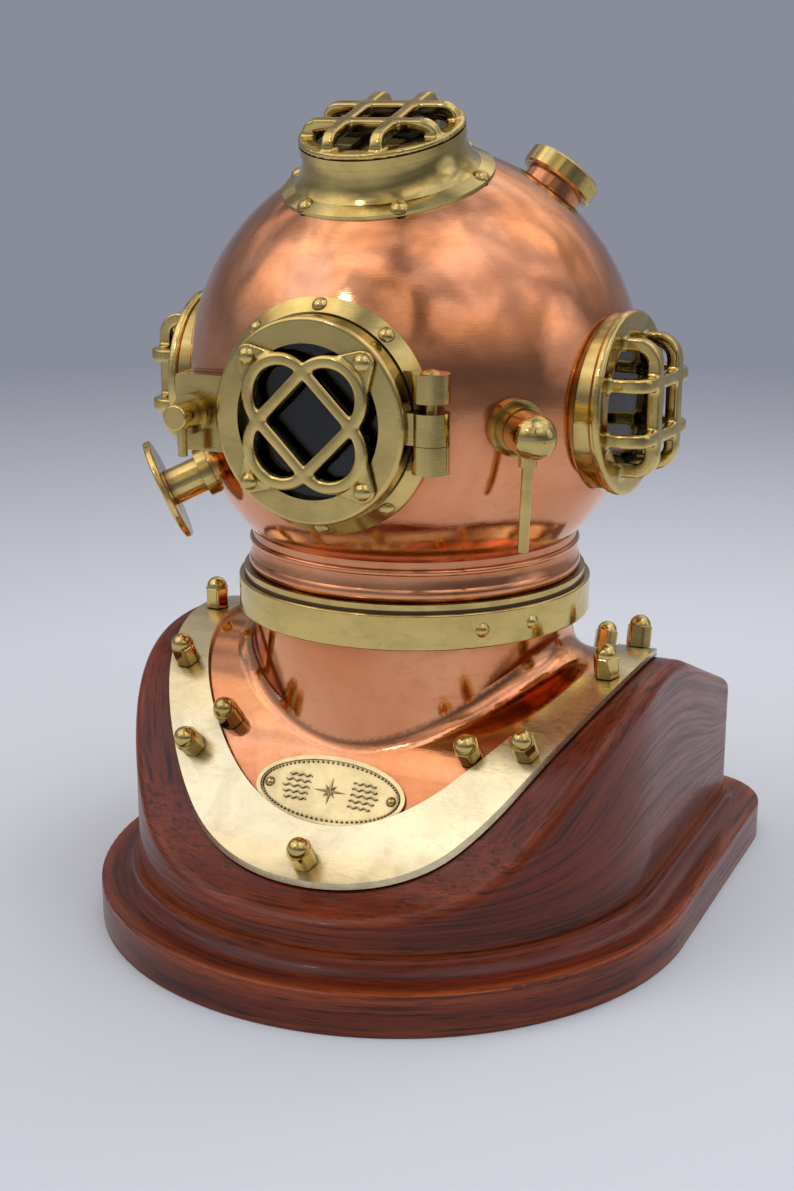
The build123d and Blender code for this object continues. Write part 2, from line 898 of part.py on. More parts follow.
# Seat ring of the face window with hinge knuckles and latch lug
knuckle_half = knuckle_height / 2
upper_knuckle = knuckle_half + part_gap + pin_show
hinge_level = door_back
with BuildPart() as face_flange:
    with BuildSketch(section(face_port)):
        with BuildLine():
            flange_foot = sqrt(clear_ball**2 - face_flange_radius**2)
            Polyline(
                (face_bore + face_spigot_wall, 0),
                (face_bore + face_spigot_wall, face_seat),
                (face_neck_radius, face_seat),
            )
            Line(
                (face_neck_radius, face_seat),
                (face_flange_radius, flange_foot + face_foot_wall),
            )
            Polyline(
                (face_flange_radius, flange_foot + face_foot_wall),
                (face_flange_radius, 0),
                (face_bore + face_spigot_wall, 0),
            )
        make_face()
    revolve(axis=axis_of(face_port))
    for side in (1, -1):
        low = upper_knuckle if side > 0 else -knuckle_half - part_gap - side_knuckle_height
        with BuildSketch(Plane.XY.offset(eye_height + low)):
            with Locations((hinge_x, -hinge_level)):
                Circle(knuckle_radius)
            with Locations((hinge_x, -face_seat)):
                Rectangle(hinge_leaf_root, knuckle_radius, align=(Align.MAX, Align.MIN))
            with Locations((hinge_x, -hinge_level)):
                Circle(pin_radius + running_gap, mode=Mode.SUBTRACT)
        extrude(amount=side_knuckle_height)
    with BuildSketch(face_port.offset(face_seat - latch_lug_depth)):
        with Locations((-latch_root, 0)):
            Rectangle(latch_end - latch_root, latch_height, align=(Align.MAX, Align.CENTER))
    extrude(amount=latch_lug_depth)
    with Locations(Plane(origin=centre)):
        Sphere(clear_ball, mode=Mode.SUBTRACT)
    with BuildSketch(section(face_port)):
        add(
            ring_face(
                (face_bore, face_seat - latch_lug_depth),
                (face_bore + face_spigot_wall, face_seat - latch_lug_depth),
                (face_bore + face_spigot_wall, face_seat),
                (face_bore, face_seat),
            )
        )
    revolve(axis=axis_of(face_port))
    with BuildSketch(face_port.offset(face_seat)):
        Circle(face_bore)
    extrude(amount=-latch_lug_depth - overrun, mode=Mode.SUBTRACT)
    with Locations((hinge_x, -hinge_level, eye_height)):
        Cylinder(
            knuckle_radius + door_swing_gap,
            knuckle_height + 2 * part_gap,
            mode=Mode.SUBTRACT,
        )
    with BuildSketch(face_port.offset(face_seat)):
        with Locations((-latch_x, 0)):
            Circle(screw_tip_radius + screw_tip_gap)
    extrude(amount=-screw_tip - slip_gap, mode=Mode.SUBTRACT)
face_flange.part.label = "face_flange"
export_step(face_flange.part, "parts/face_flange.step")

# Leather washer of the door
with BuildPart() as face_gasket:
    with BuildSketch(face_port.offset(face_seat)):
        Circle(face_neck_radius - gasket_wall)
        Circle(face_gasket_bore, mode=Mode.SUBTRACT)
    extrude(amount=gasket_wall)
face_gasket.part.label = "face_gasket"
export_step(face_gasket.part, "parts/face_gasket.step")

# Hinged door ring
glass_radius = door_window + glass_lap
glass_level = door_back + retainer_wall
with BuildPart() as door_ring:
    with BuildSketch(section(face_port)):
        add(
            ring_face(
                (glass_radius + slip_gap, door_back),
                (door_radius, door_back),
                (door_radius, door_front),
                (door_window, door_front),
                (door_window, glass_level + glass_wall),
                (glass_radius + slip_gap, glass_level + glass_wall),
            )
        )
    revolve(axis=axis_of(face_port))
    fillet(
        door_ring.edges().filter_by(
            lambda e: e.geom_type == GeomType.CIRCLE
            and e.radius > door_radius - seam_sink
            and e.center().Y < -door_back - seam_sink
        ),
        radius=door_round,
    )
    with BuildSketch(Plane.XY.offset(eye_height - knuckle_half)):
        with Locations((hinge_x, -hinge_level)):
            Circle(knuckle_radius)
        with Locations((hinge_x, -hinge_level)):
            Rectangle(hinge_leaf_root, hinge_leaf_wall, align=(Align.MAX, Align.MAX))
        with Locations((hinge_x, -hinge_level)):
            Circle(pin_radius + running_gap, mode=Mode.SUBTRACT)
    extrude(amount=knuckle_height)
    with BuildSketch(face_port.offset(door_back)):
        with Locations((-latch_root, 0)):
            Rectangle(latch_end - latch_root, latch_height, align=(Align.MAX, Align.CENTER))
    extrude(amount=latch_wall)
    with BuildSketch(face_port.offset(door_back + latch_wall)):
        with Locations((-latch_x, 0)):
            Circle(latch_boss_radius)
    extrude(amount=latch_boss_rise)
    with BuildSketch(face_port.offset(door_back)):
        with Locations((-latch_x, 0)):
            Circle(screw_radius + running_gap)
    extrude(amount=latch_wall + latch_boss_rise, mode=Mode.SUBTRACT)
    with BuildSketch(face_port.offset(glass_level - retainer_wall)):
        Circle(glass_radius + slip_gap)
    extrude(amount=retainer_wall + glass_wall, mode=Mode.SUBTRACT)
    with Locations(*ring_places(face_port, guard_screw_circle, door_front, 4, 45)):
        Cylinder(
            guard_screw_shank + running_gap,
            guard_screw_length,
            align=(Align.CENTER, Align.CENTER, Align.MAX),
            mode=Mode.SUBTRACT,
        )
fillet_edges = door_ring.edges().filter_by(Axis.Y).filter_by(
    lambda e: e.center().X < -latch_end + seam_sink
)
with door_ring:
    fillet(fillet_edges, radius=latch_round)
door_ring.part.label = "door_ring"
export_step(door_ring.part, "parts/door_ring.step")

with BuildPart() as door_glass:
    with BuildSketch(face_port.offset(glass_level)):
        Circle(glass_radius)
    extrude(amount=glass_wall)
door_glass.part.label = "door_glass"
export_step(door_glass.part, "parts/door_glass.step")

with BuildPart() as door_retainer:
    with BuildSketch(face_port.offset(door_back)):
        Circle(glass_radius)
        Circle(glass_radius - retainer_lap, mode=Mode.SUBTRACT)
    extrude(amount=retainer_wall)
door_retainer.part.label = "door_retainer"
export_step(door_retainer.part, "parts/door_retainer.step")

# Guard of two crossed loops of rounded bar, on four ears
loop_radius = guard_cross * sqrt(0.5)
loop_ends = ring_places(face_port, loop_radius, door_front, 4, 45)


def bar_section(across, level):
    """Bar with a flat back and a rounded front, for a section plane."""
    with BuildSketch() as sketch:
        with Locations((across, level)):
            RectangleRounded(guard_bar, 2 * guard_wall, guard_round)
            Rectangle(
                guard_bar + overrun,
                guard_wall + overrun,
                align=(Align.CENTER, Align.MAX),
                mode=Mode.SUBTRACT,
            )
    return sketch.sketch


with BuildPart() as door_guard:
    with BuildSketch(face_port.offset(door_front)):
        for turn in range(45, 360, 90):
            a = radians(turn)
            with BuildSketch(mode=Mode.PRIVATE) as ear:
                with Locations((guard_screw_circle * cos(a), guard_screw_circle * sin(a))):
                    Circle(guard_ear_radius)
                for side in (guard_ear_spread, -guard_ear_spread):
                    b = radians(turn + side)
                    with Locations(
                        (loop_radius * (cos(a) + cos(b)), loop_radius * (sin(a) + sin(b)))
                    ):
                        Circle(guard_bar / 4)
                make_hull()
            add(ear.sketch)
        for turn in range(45, 360, 90):
            a = radians(turn)
            with Locations((loop_radius * cos(a), loop_radius * sin(a))):
                Circle(loop_radius, mode=Mode.SUBTRACT)
    extrude(amount=guard_ear_wall)
    for turn in range(45, 360, 90):
        start = turned(face_port, turn - 90)
        end = Plane(
            origin=face_port.origin - start.y_dir * -loop_radius,
            x_dir=start.x_dir,
            z_dir=face_port.z_dir,
        )
        with BuildSketch(section(end)):
            add(bar_section(loop_radius, door_front))
        revolve(axis=axis_of(end), revolution_arc=180)
        run = Plane(
            origin=face_port.origin - start.y_dir * loop_radius,
            x_dir=start.x_dir * -1,
            z_dir=start.y_dir,
        )
        with BuildSketch(run):
            add(bar_section(-loop_radius, door_front))
        extrude(amount=2 * loop_radius)
    with Locations(*ring_places(face_port, guard_screw_circle, door_front, 4, 45)):
        Cylinder(
            guard_screw_shank + running_gap,
            guard_wall,
            align=(Align.CENTER, Align.CENTER, Align.MIN),
            mode=Mode.SUBTRACT,
        )
door_guard.part.label = "door_guard"
export_step(door_guard.part, "parts/door_guard.step")

with BuildPart() as door_guard_screws:
    with Locations(
        *ring_places(face_port, guard_screw_circle, door_front + guard_ear_wall, 4, 45)
    ):
        add(domed_head(guard_screw_radius, guard_screw_rise))
        Cylinder(
            guard_screw_shank,
            guard_ear_wall + guard_screw_length - slip_gap,
            align=(Align.CENTER, Align.CENTER, Align.MAX),
        )
door_guard_screws.part.label = "door_guard_screws"
export_step(door_guard_screws.part, "parts/door_guard_screws.step")

# Hinge pin with a head at each end
pin_top = upper_knuckle + side_knuckle_height
pin_foot = -knuckle_half - part_gap - side_knuckle_height
with BuildPart() as hinge_pin:
    with Locations((hinge_x, -hinge_level, eye_height + pin_foot)):
        Cylinder(pin_radius, pin_top - pin_foot, align=(Align.CENTER, Align.CENTER, Align.MIN))
    for level, side in ((pin_top, 1), (pin_foot, -1)):
        seat = Plane(
            origin=(hinge_x, -hinge_level, eye_height + level),
            z_dir=(0, 0, side),
        )
        with Locations(seat):
            add(domed_head(pin_head_radius, pin_head_rise))
hinge_pin.part.label = "hinge_pin"
export_step(hinge_pin.part, "parts/hinge_pin.step")

# Clamp screw of the latch, with a knob and a short lever
latch_front = door_back + latch_wall + latch_boss_rise
with BuildPart() as clamp_screw:
    with BuildSketch(face_port.offset(latch_front)):
        with Locations((-latch_x, 0)):
            Circle(knob_radius)
    extrude(amount=knob_rise)
    fillet(clamp_screw.faces().sort_by(Axis.Y)[0].edges(), radius=knob_round)
    with BuildSketch(face_port.offset(latch_front)):
        with Locations((-latch_x, 0)):
            Circle(screw_radius)
    extrude(amount=-(latch_wall + latch_boss_rise))
    with BuildSketch(face_port.offset(door_back)):
        with Locations((-latch_x, 0)):
            Circle(screw_tip_radius)
    extrude(amount=-(screw_tip + gasket_wall - slip_gap))
    with Locations((-latch_x, -(latch_front + lever_rod_height), eye_height)):
        Cylinder(
            lever_rod_radius,
            lever_rod_length,
            align=(Align.CENTER, Align.CENTER, Align.MAX),
        )
clamp_screw.part.label = "clamp_screw"
export_step(clamp_screw.part, "parts/clamp_screw.step")

# Side windows: ring, glass and cage on each side
side_spigot = side_bore + side_spigot_wall
side_glass_level = side_seat - glass_wall
for side_name, port in side_ports.items():
    with BuildPart() as side_ring:
        with BuildSketch(section(port)):
            add(
                ring_face(
                    (side_spigot, 0),
                    (side_radius, 0),
                    (side_radius, side_seat),
                    (side_spigot, side_seat),
                )
            )
        revolve(axis=axis_of(port))
        with Locations(Plane(origin=centre)):
            Sphere(clear_ball, mode=Mode.SUBTRACT)
        spigot_foot = bonnet_radius - side_spigot_depth - side_ring_wall
        with BuildSketch(section(port)):
            add(
                ring_face(
                    (side_bore, spigot_foot),
                    (side_spigot, spigot_foot),
                    (side_spigot, side_seat),
                    (side_bore, side_seat),
                )
            )
        revolve(axis=axis_of(port))
        with BuildSketch(port.offset(side_glass_level)):
            Circle(side_bore + side_glass_lap)
        extrude(amount=glass_wall, mode=Mode.SUBTRACT)
    name = side_name + "_light_ring"
    side_ring.part.label = name
    export_step(side_ring.part, "parts/" + name + ".step")

    with BuildPart() as side_glass:
        with BuildSketch(port.offset(side_glass_level)):
            Circle(side_bore + side_glass_lap - slip_gap)
        extrude(amount=glass_wall)
    name = side_name + "_light_glass"
    side_glass.part.label = name
    export_step(side_glass.part, "parts/" + name + ".step")

    with BuildPart() as side_guard:
        with BuildSketch(port.offset(side_seat)):
            Circle(side_ring_radius)
            Circle(side_bore, mode=Mode.SUBTRACT)
        extrude(amount=side_ring_wall)
        fillet(
            side_guard.edges().filter_by(
                lambda e: e.geom_type == GeomType.CIRCLE
                and e.radius > side_ring_radius - seam_sink
            ),
            radius=side_ring_round,
        )
        half = sqrt(cage_radius**2 - cage_pitch**2)
        for turn in (0, 90):
            for off in (cage_pitch, -cage_pitch):
                frame = turned(port, turn)
                arch = Plane(
                    origin=frame.origin
                    + frame.y_dir * off
                    + frame.z_dir * (side_seat + side_ring_wall / 2),
                    x_dir=frame.x_dir,
                    z_dir=frame.y_dir * -1,
                )
                with BuildSketch(arch):
                    with Locations((0, 0)):
                        RectangleRounded(
                            2 * half,
                            2 * (cage_rise + side_ring_wall / 2),
                            cage_corner,
                        )
                        RectangleRounded(
                            2 * (half - cage_bar),
                            2 * (cage_rise + side_ring_wall / 2 - cage_bar),
                            cage_corner - cage_bar,
                            mode=Mode.SUBTRACT,
                        )
                    Rectangle(
                        3 * half,
                        3 * cage_rise,
                        align=(Align.CENTER, Align.MAX),
                        mode=Mode.SUBTRACT,
                    )
                extrude(amount=cage_bar / 2, both=True)
    name = side_name + "_light_guard"
    side_guard.part.label = name
    export_step(side_guard.part, "parts/" + name + ".step")

# Top window: flared foot, rim, glass and barred guard
top_spigot = top_bore + top_spigot_wall
band_ball = clear_ball + top_foot_wall
band_top = sqrt(band_ball**2 - top_band_radius**2)
band_mid = (top_band_radius + top_foot_radius) / 2
top_glass_level = top_rim_height - glass_wall
with BuildPart() as top_light_ring:
    with BuildSketch(section(top_port)):
        with BuildLine():
            Polyline(
                (top_spigot, 0),
                (top_spigot, top_rim_height),
                (top_rim_radius, top_rim_height),
                (top_rim_radius, top_rim_height - top_rim_wall),
            )
            neck = top_rim_radius - top_neck_step
            neck_top = top_rim_height - top_rim_wall
            Line((top_rim_radius, neck_top), (neck, neck_top))
            ThreePointArc(
                (neck, neck_top),
                (
                    neck + (top_band_radius - neck) * top_flare_share,
                    band_top + (neck_top - band_top) * top_flare_share,
                ),
                (top_band_radius, band_top),
            )
            ThreePointArc(
                (top_band_radius, band_top),
                (band_mid, sqrt(band_ball**2 - band_mid**2)),
                (top_foot_radius, sqrt(band_ball**2 - top_foot_radius**2)),
            )
            Polyline(
                (top_foot_radius, sqrt(band_ball**2 - top_foot_radius**2)),
                (top_foot_radius, 0),
                (top_spigot, 0),
            )
        make_face()
    revolve(axis=axis_of(top_port))
    with Locations(Plane(origin=centre)):
        Sphere(clear_ball, mode=Mode.SUBTRACT)
    with BuildSketch(section(top_port)):
        add(
            ring_face(
                (top_bore, bonnet_radius - side_spigot_depth),
                (top_spigot, bonnet_radius - side_spigot_depth),
                (top_spigot, top_glass_level),
                (top_bore, top_glass_level),
            )
        )
    revolve(axis=axis_of(top_port))
    with BuildSketch(top_port.offset(top_glass_level)):
        Circle(top_bore + glass_lap)
    extrude(amount=glass_wall, mode=Mode.SUBTRACT)
top_light_ring.part.label = "top_light_ring"
export_step(top_light_ring.part, "parts/top_light_ring.step")

with BuildPart() as top_light_glass:
    with BuildSketch(top_port.offset(top_glass_level)):
        Circle(top_bore + glass_lap - slip_gap)
    extrude(amount=glass_wall)
top_light_glass.part.label = "top_light_glass"
export_step(top_light_glass.part, "parts/top_light_glass.step")

with BuildPart() as top_light_guard:
    with BuildSketch(top_port.offset(top_rim_height)):
        Circle(top_rim_radius)
        Circle(top_bore, mode=Mode.SUBTRACT)
    extrude(amount=top_bar / 2)
    half = sqrt((top_rim_radius - top_bar_inset) ** 2 - (top_bar_pitch + top_bar / 2) ** 2)
    for turn in (0, 90):
        for off in (top_bar_pitch, -top_bar_pitch):
            frame = turned(top_port, turn)
            arch = Plane(
                origin=frame.origin + frame.y_dir * off + frame.z_dir * top_rim_height,
                x_dir=frame.x_dir,
                z_dir=frame.y_dir * -1,
            )
            with BuildSketch(arch):
                RectangleRounded(2 * half, 2 * top_bar_rise, top_bar_corner)
                RectangleRounded(
                    2 * (half - top_bar),
                    2 * (top_bar_rise - top_bar),
                    top_bar_corner - top_bar,
                    mode=Mode.SUBTRACT,
                )
                Rectangle(
                    3 * half,
                    3 * top_bar_rise,
                    align=(Align.CENTER, Align.MAX),
                    mode=Mode.SUBTRACT,
                )
            extrude(amount=top_bar / 2, both=True)
top_light_guard.part.label = "top_light_guard"
export_step(top_light_guard.part, "parts/top_light_guard.step")

# Rivets round the top window and the face window
with BuildPart() as top_light_rivets:
    rivet_wall = band_ball - bonnet_radius + braze_gap
    with Locations(*rivet_places(top_port, top_rivet_circle, rivet_wall, top_rivet_count, 0)):
        add(domed_head(rivet_radius, rivet_rise))
top_light_rivets.part.label = "top_light_rivets"
export_step(top_light_rivets.part, "parts/top_light_rivets.step")

flare_run = face_flange_radius - face_neck_radius
flare_drop = face_seat - flange_foot - face_foot_wall
with BuildPart() as face_flange_rivets:
    for turn in face_rivet_turns:
        flat = ring_places(
            face_port,
            face_neck_radius + flare_run / 2,
            face_seat - flare_drop / 2,
            1,
            turn,
        )[0]
        off = flat.origin - face_port.origin
        out = (off - face_port.z_dir * off.dot(face_port.z_dir)).normalized()
        lean = (out * flare_drop + face_port.z_dir * flare_run).normalized()
        with Locations(Plane(origin=flat.origin + lean * (braze_gap + running_gap), z_dir=lean)):
            add(domed_head(rivet_radius, rivet_rise))
face_flange_rivets.part.label = "face_flange_rivets"
export_step(face_flange_rivets.part, "parts/face_flange_rivets.step")

# Rear ports: copper boss and brass cap on each side
for port_name, port in (("air_port", air_port), ("phone_port", phone_port)):
    with BuildPart() as boss:
        with BuildSketch(port):
            Circle(boss_radius)
            Circle(port_hole, mode=Mode.SUBTRACT)
        extrude(amount=bonnet_radius + boss_height)
        with Locations(Plane(origin=centre)):
            Sphere(clear_ball, mode=Mode.SUBTRACT)
    boss.part.label = port_name + "_boss"
    export_step(boss.part, "parts/" + port_name + "_boss.step")

    with BuildPart() as cap:
        with BuildSketch(port.offset(bonnet_radius + boss_height)):
            Circle(cap_radius)
        extrude(amount=cap_height)
        chamfer(cap.edges().filter_by(GeomType.CIRCLE), length=cap_chamfer)
        with BuildSketch(port.offset(bonnet_radius + boss_height)):
            Circle(cap_spigot)
        extrude(amount=-cap_spigot_depth)
    cap.part.label = port_name + "_cap"
    export_step(cap.part, "parts/" + port_name + "_cap.step")

# Exhaust valve
exhaust_foot = bonnet_radius + exhaust_collar_height
exhaust_end = exhaust_foot + exhaust_length
with BuildPart() as exhaust_body:
    with BuildSketch(exhaust_port):
        Circle(exhaust_collar_radius)
        Circle(exhaust_bore, mode=Mode.SUBTRACT)
    extrude(amount=exhaust_foot)
    with Locations(Plane(origin=centre)):
        Sphere(clear_ball, mode=Mode.SUBTRACT)
    with BuildSketch(exhaust_port.offset(exhaust_foot)):
        Circle(exhaust_radius)
        Circle(exhaust_bore, mode=Mode.SUBTRACT)
    extrude(amount=exhaust_length)
exhaust_body.part.label = "exhaust_body"
export_step(exhaust_body.part, "parts/exhaust_body.step")

with BuildPart() as exhaust_handwheel:
    with BuildSketch(exhaust_port.offset(exhaust_end + slip_gap)):
        Circle(wheel_radius)
    extrude(amount=wheel_wall)
    fillet(exhaust_handwheel.edges(), radius=wheel_dish)
    with BuildSketch(exhaust_port.offset(exhaust_end + slip_gap)):
        Circle(exhaust_bore - running_gap)
        Circle(stem_radius + slip_gap, mode=Mode.SUBTRACT)
    extrude(amount=-wheel_spigot)
exhaust_handwheel.part.label = "exhaust_handwheel"
export_step(exhaust_handwheel.part, "parts/exhaust_handwheel.step")

# Stem of the exhaust valve with its disc and chin button
poppet_level = bonnet_radius
stem_end = exhaust_end - stem_travel - slip_gap
with BuildPart() as exhaust_stem:
    with BuildSketch(exhaust_port.offset(bonnet_radius - chin_reach)):
        Circle(stem_radius)
    extrude(amount=stem_end - bonnet_radius + chin_reach)
    with BuildSketch(exhaust_port.offset(poppet_level)):
        Circle(poppet_radius)
    extrude(amount=poppet_wall)
    with BuildSketch(exhaust_port.offset(bonnet_radius - chin_reach)):
        Circle(chin_radius)
    extrude(amount=-chin_wall)
exhaust_stem.part.label = "exhaust_stem"
export_step(exhaust_stem.part, "parts/exhaust_stem.step")

# Spit cock: fixed foot, turning plug and its lever
cock_foot_top = bonnet_radius + cock_foot_height
cock_seat = cock_foot_top + cock_body_length
with BuildPart() as spitcock_body:
    with BuildSketch(cock_port):
        Circle(cock_foot_radius)
    extrude(amount=cock_foot_top)
    with Locations(Plane(origin=centre)):
        Sphere(clear_ball, mode=Mode.SUBTRACT)
    with BuildSketch(cock_port.offset(cock_foot_top)):
        Circle(cock_radius)
    extrude(amount=cock_body_length)
    with BuildSketch(cock_port.offset(cock_seat)):
        Circle(cock_spindle_radius + running_gap)
    extrude(amount=-cock_spindle_length - slip_gap, mode=Mode.SUBTRACT)
spitcock_body.part.label = "spitcock_body"
export_step(spitcock_body.part, "parts/spitcock_body.step")

cock_plug_level = cock_seat + slip_gap
with BuildPart() as spitcock_lever:
    with BuildSketch(cock_port.offset(cock_plug_level)):
        Circle(cock_plug_radius)
    extrude(amount=cock_plug_length)
    plug_end = cock_port.offset(cock_plug_level + cock_plug_length)
    with Locations(plug_end):
        Sphere(cock_plug_radius)
    with BuildSketch(cock_port.offset(cock_plug_level)):
        Circle(cock_spindle_radius)
    extrude(amount=-cock_spindle_length)
    rod_top = cock_port.offset(cock_plug_level + cock_plug_length / 2).origin
    with Locations(Plane(origin=rod_top, z_dir=cock_port.y_dir * -1)):
        Cylinder(
            cock_collar_radius,
            cock_plug_radius + cock_collar_height,
            align=(Align.CENTER, Align.CENTER, Align.MIN),
        )
        Cylinder(
            cock_rod_radius,
            cock_plug_radius + cock_rod_length,
            align=(Align.CENTER, Align.CENTER, Align.MIN),
        )
spitcock_lever.part.label = "spitcock_lever"
export_step(spitcock_lever.part, "parts/spitcock_lever.step")
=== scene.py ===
import json
from math import cos, pi, radians, sin

import bmesh
import bpy
from mathutils import Matrix, Vector


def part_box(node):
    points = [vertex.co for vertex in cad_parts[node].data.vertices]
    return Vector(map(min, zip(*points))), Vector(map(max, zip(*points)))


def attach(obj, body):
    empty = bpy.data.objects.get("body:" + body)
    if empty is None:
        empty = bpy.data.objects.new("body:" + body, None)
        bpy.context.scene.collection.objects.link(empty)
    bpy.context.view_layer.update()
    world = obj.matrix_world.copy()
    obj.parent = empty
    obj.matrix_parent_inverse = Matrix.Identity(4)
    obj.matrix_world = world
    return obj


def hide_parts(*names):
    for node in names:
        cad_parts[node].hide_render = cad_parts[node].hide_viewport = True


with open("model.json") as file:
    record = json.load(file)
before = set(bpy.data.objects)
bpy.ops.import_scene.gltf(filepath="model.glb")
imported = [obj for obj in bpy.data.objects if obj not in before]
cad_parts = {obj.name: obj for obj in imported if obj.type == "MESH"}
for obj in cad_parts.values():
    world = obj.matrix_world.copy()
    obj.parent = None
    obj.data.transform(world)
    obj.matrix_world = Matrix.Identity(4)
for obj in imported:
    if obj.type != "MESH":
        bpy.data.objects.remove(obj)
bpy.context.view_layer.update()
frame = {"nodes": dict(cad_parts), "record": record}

bl_info = {
    "name": "Diving helmet",
    "version": (1, 0, 0),
    "blender": (4, 5, 0),
    "location": "View3D > Sidebar > Helmet",
    "description": "Dresses a copper and brass diving helmet on its stand",
    "category": "Object",
}

nodes = frame["nodes"]
finishes = {}

# Middle of the copper ball, and the distance from it where the painted shade of its dark inside
# ends
BALL_MIDDLE = (0.0, 0.0, 0.389)
SHADED_INSIDE_RADIUS = 0.1581
SHADED_INSIDE_STEP = 0.0004
INSIDE_SHADE_TONE = (0.030, 0.026, 0.022, 1.0)

# Two corners of a mesh closer than this are one
MERGE_DISTANCE = 0.00001

# The round front of the stand's outline: where its middle lies in Y, and its radius
ROUND_MIDDLE = -0.02
ROUND_RADIUS = 0.2

# The falls of the saddle seen from the side: start and end in Y, depth at each
FRONT_FALL = (-0.03, -0.225, 0.0, 0.135)
BACK_FALL = (0.0, 0.40, 0.0, 0.115)

# Heights between which the wood's grain turns from level to along the saddle
GRAIN_TURN = (0.05, 0.11)

# Reach of the painted shade in the metal's corners, of the painted shade in the wood's corners
# and of the wood's rubbed edges
METAL_CORNER_SHADE = 0.012
WOOD_CORNER_SHADE = 0.014
WOOD_EDGE = 0.012

# The plate's flat field: half its height, and the tilt of the faces that look outwards
PLATE_FIELD = 0.016
PLATE_TILT = 0.3

# The star and the waves of the plate
STAR_POINTS = 8
WAVE_ROWS = 2
WAVE_GAP = 0.0035
WAVE_HEIGHT = 0.0007
WAVE_TURNS = 3

# Dark glass, leather and felt, each from a deeper to a lighter tone
GLASS_TONES = ((0.16, 0.20, 0.195, 1), (0.24, 0.29, 0.28, 1))
LEATHER_TONES = ((0.05, 0.025, 0.014, 1), (0.11, 0.06, 0.035, 1))
FELT_TONES = ((0.02, 0.05, 0.03, 1), (0.05, 0.11, 0.07, 1))

# The room's tone by height: below the horizon, overhead and at places between
ROOM_BOTTOM = (0.26, 0.27, 0.295, 1)
ROOM_TOP = (0.68, 0.70, 0.74, 1)
ROOM_BETWEEN = (
    (0.20, (0.26, 0.27, 0.295, 1)),
    (0.34, (0.20, 0.205, 0.22, 1)),
    (0.60, (0.42, 0.43, 0.46, 1)))
COOL_TONE = (0.96, 0.98, 1.08, 1)
WARM_TONE = (1.12, 1.0, 0.84, 1)

# Bright patches of the room: direction, cosine at the edge and at the heart, gain
ROOM_PATCHES = (
    ((-0.60, -0.45, 0.66), 0.74, 0.98, 1.4),
    ((0.66, -0.05, 0.72), 0.72, 0.96, 1.0),
    ((0.93, 0.30, 0.20), 0.94, 0.99, 2.4),
    ((0.25, 0.75, 0.61), 0.80, 0.98, 0.8))
PATCH_WAVER = 0.12

# The room's dim side: direction, and how much of the light it takes away
DIM_SIDE = (0.93, -0.36, 0.06)
DIM_SHARE = 0.50

# The floor: radius, and the distances between which it fades into the room
FLOOR_RADIUS = 6.0
FLOOR_FADE = (0.7, 2.8)

# Lamps: name, place, size and power in watts; only the glint shows in the metal
LAMP_AIM = (0.0, 0.0, 0.33)
LAMPS = (
    ("key", (-1.5, -1.3, 1.9), (1.4, 1.4), 19.0),
    ("fill", (1.9, -0.7, 1.3), (0.8, 1.5), 5.5),
    ("top", (0.3, 0.2, 2.3), (1.8, 1.8), 18.0),
    ("rim", (0.9, 1.6, 1.2), (0.6, 1.3), 7.0),
    ("glint", (-0.55, -1.73, 1.87), (0.20, 0.20), 1.5))


# Sizes and colours that a user may change

class FinishColours(bpy.types.PropertyGroup):
    copper: bpy.props.FloatVectorProperty(
        name="Copper", description="Polished copper of the bonnet and breastplate",
        subtype="COLOR", size=3, min=0.0, max=1.0, default=(0.85, 0.385, 0.195))
    copper_deep: bpy.props.FloatVectorProperty(
        name="Deep copper", description="Redder clouds in the copper",
        subtype="COLOR", size=3, min=0.0, max=1.0, default=(0.69, 0.24, 0.10))
    # Tone of the random tarnish spots, also used as painted shade in the copper's corners
    copper_dark: bpy.props.FloatVectorProperty(
        name="Tarnish and painted shade", description="Brown tarnish spots, and painted shade beside the fittings",
        subtype="COLOR", size=3, min=0.0, max=1.0, default=(0.20, 0.065, 0.03))
    brass: bpy.props.FloatVectorProperty(
        name="Brass", description="Polished brass of the fittings",
        subtype="COLOR", size=3, min=0.0, max=1.0, default=(0.73, 0.54, 0.19))
    # Tone of the brass's dark spots, also used as painted shade in its corners
    brass_dark: bpy.props.FloatVectorProperty(
        name="Aged brass and painted shade", description="Brown spots of aged brass, and painted shade in corners and recesses",
        subtype="COLOR", size=3, min=0.0, max=1.0, default=(0.13, 0.08, 0.025))
    strap: bpy.props.FloatVectorProperty(
        name="Strap brass", description="Paler brushed brass of the strap",
        subtype="COLOR", size=3, min=0.0, max=1.0, default=(0.86, 0.73, 0.46))
    wood: bpy.props.FloatVectorProperty(
        name="Wood", description="Reddish brown of the stand",
        subtype="COLOR", size=3, min=0.0, max=1.0, default=(0.150, 0.0185, 0.0045))
    wood_edge: bpy.props.FloatVectorProperty(
        name="Wood edges", description="Lighter wood where the edges are rubbed",
        subtype="COLOR", size=3, min=0.0, max=1.0, default=(0.33, 0.070, 0.017))
    # Tone of the grain lines and pores, also used as painted shade in the wood's corners
    wood_dark: bpy.props.FloatVectorProperty(
        name="Wood grain", description="Dark lines of the grain",
        subtype="COLOR", size=3, min=0.0, max=1.0, default=(0.018, 0.003, 0.0015))
    floor: bpy.props.FloatVectorProperty(
        name="Floor", description="Pale floor and backdrop",
        subtype="COLOR", size=3, min=0.0, max=1.0, default=(0.50, 0.52, 0.56))


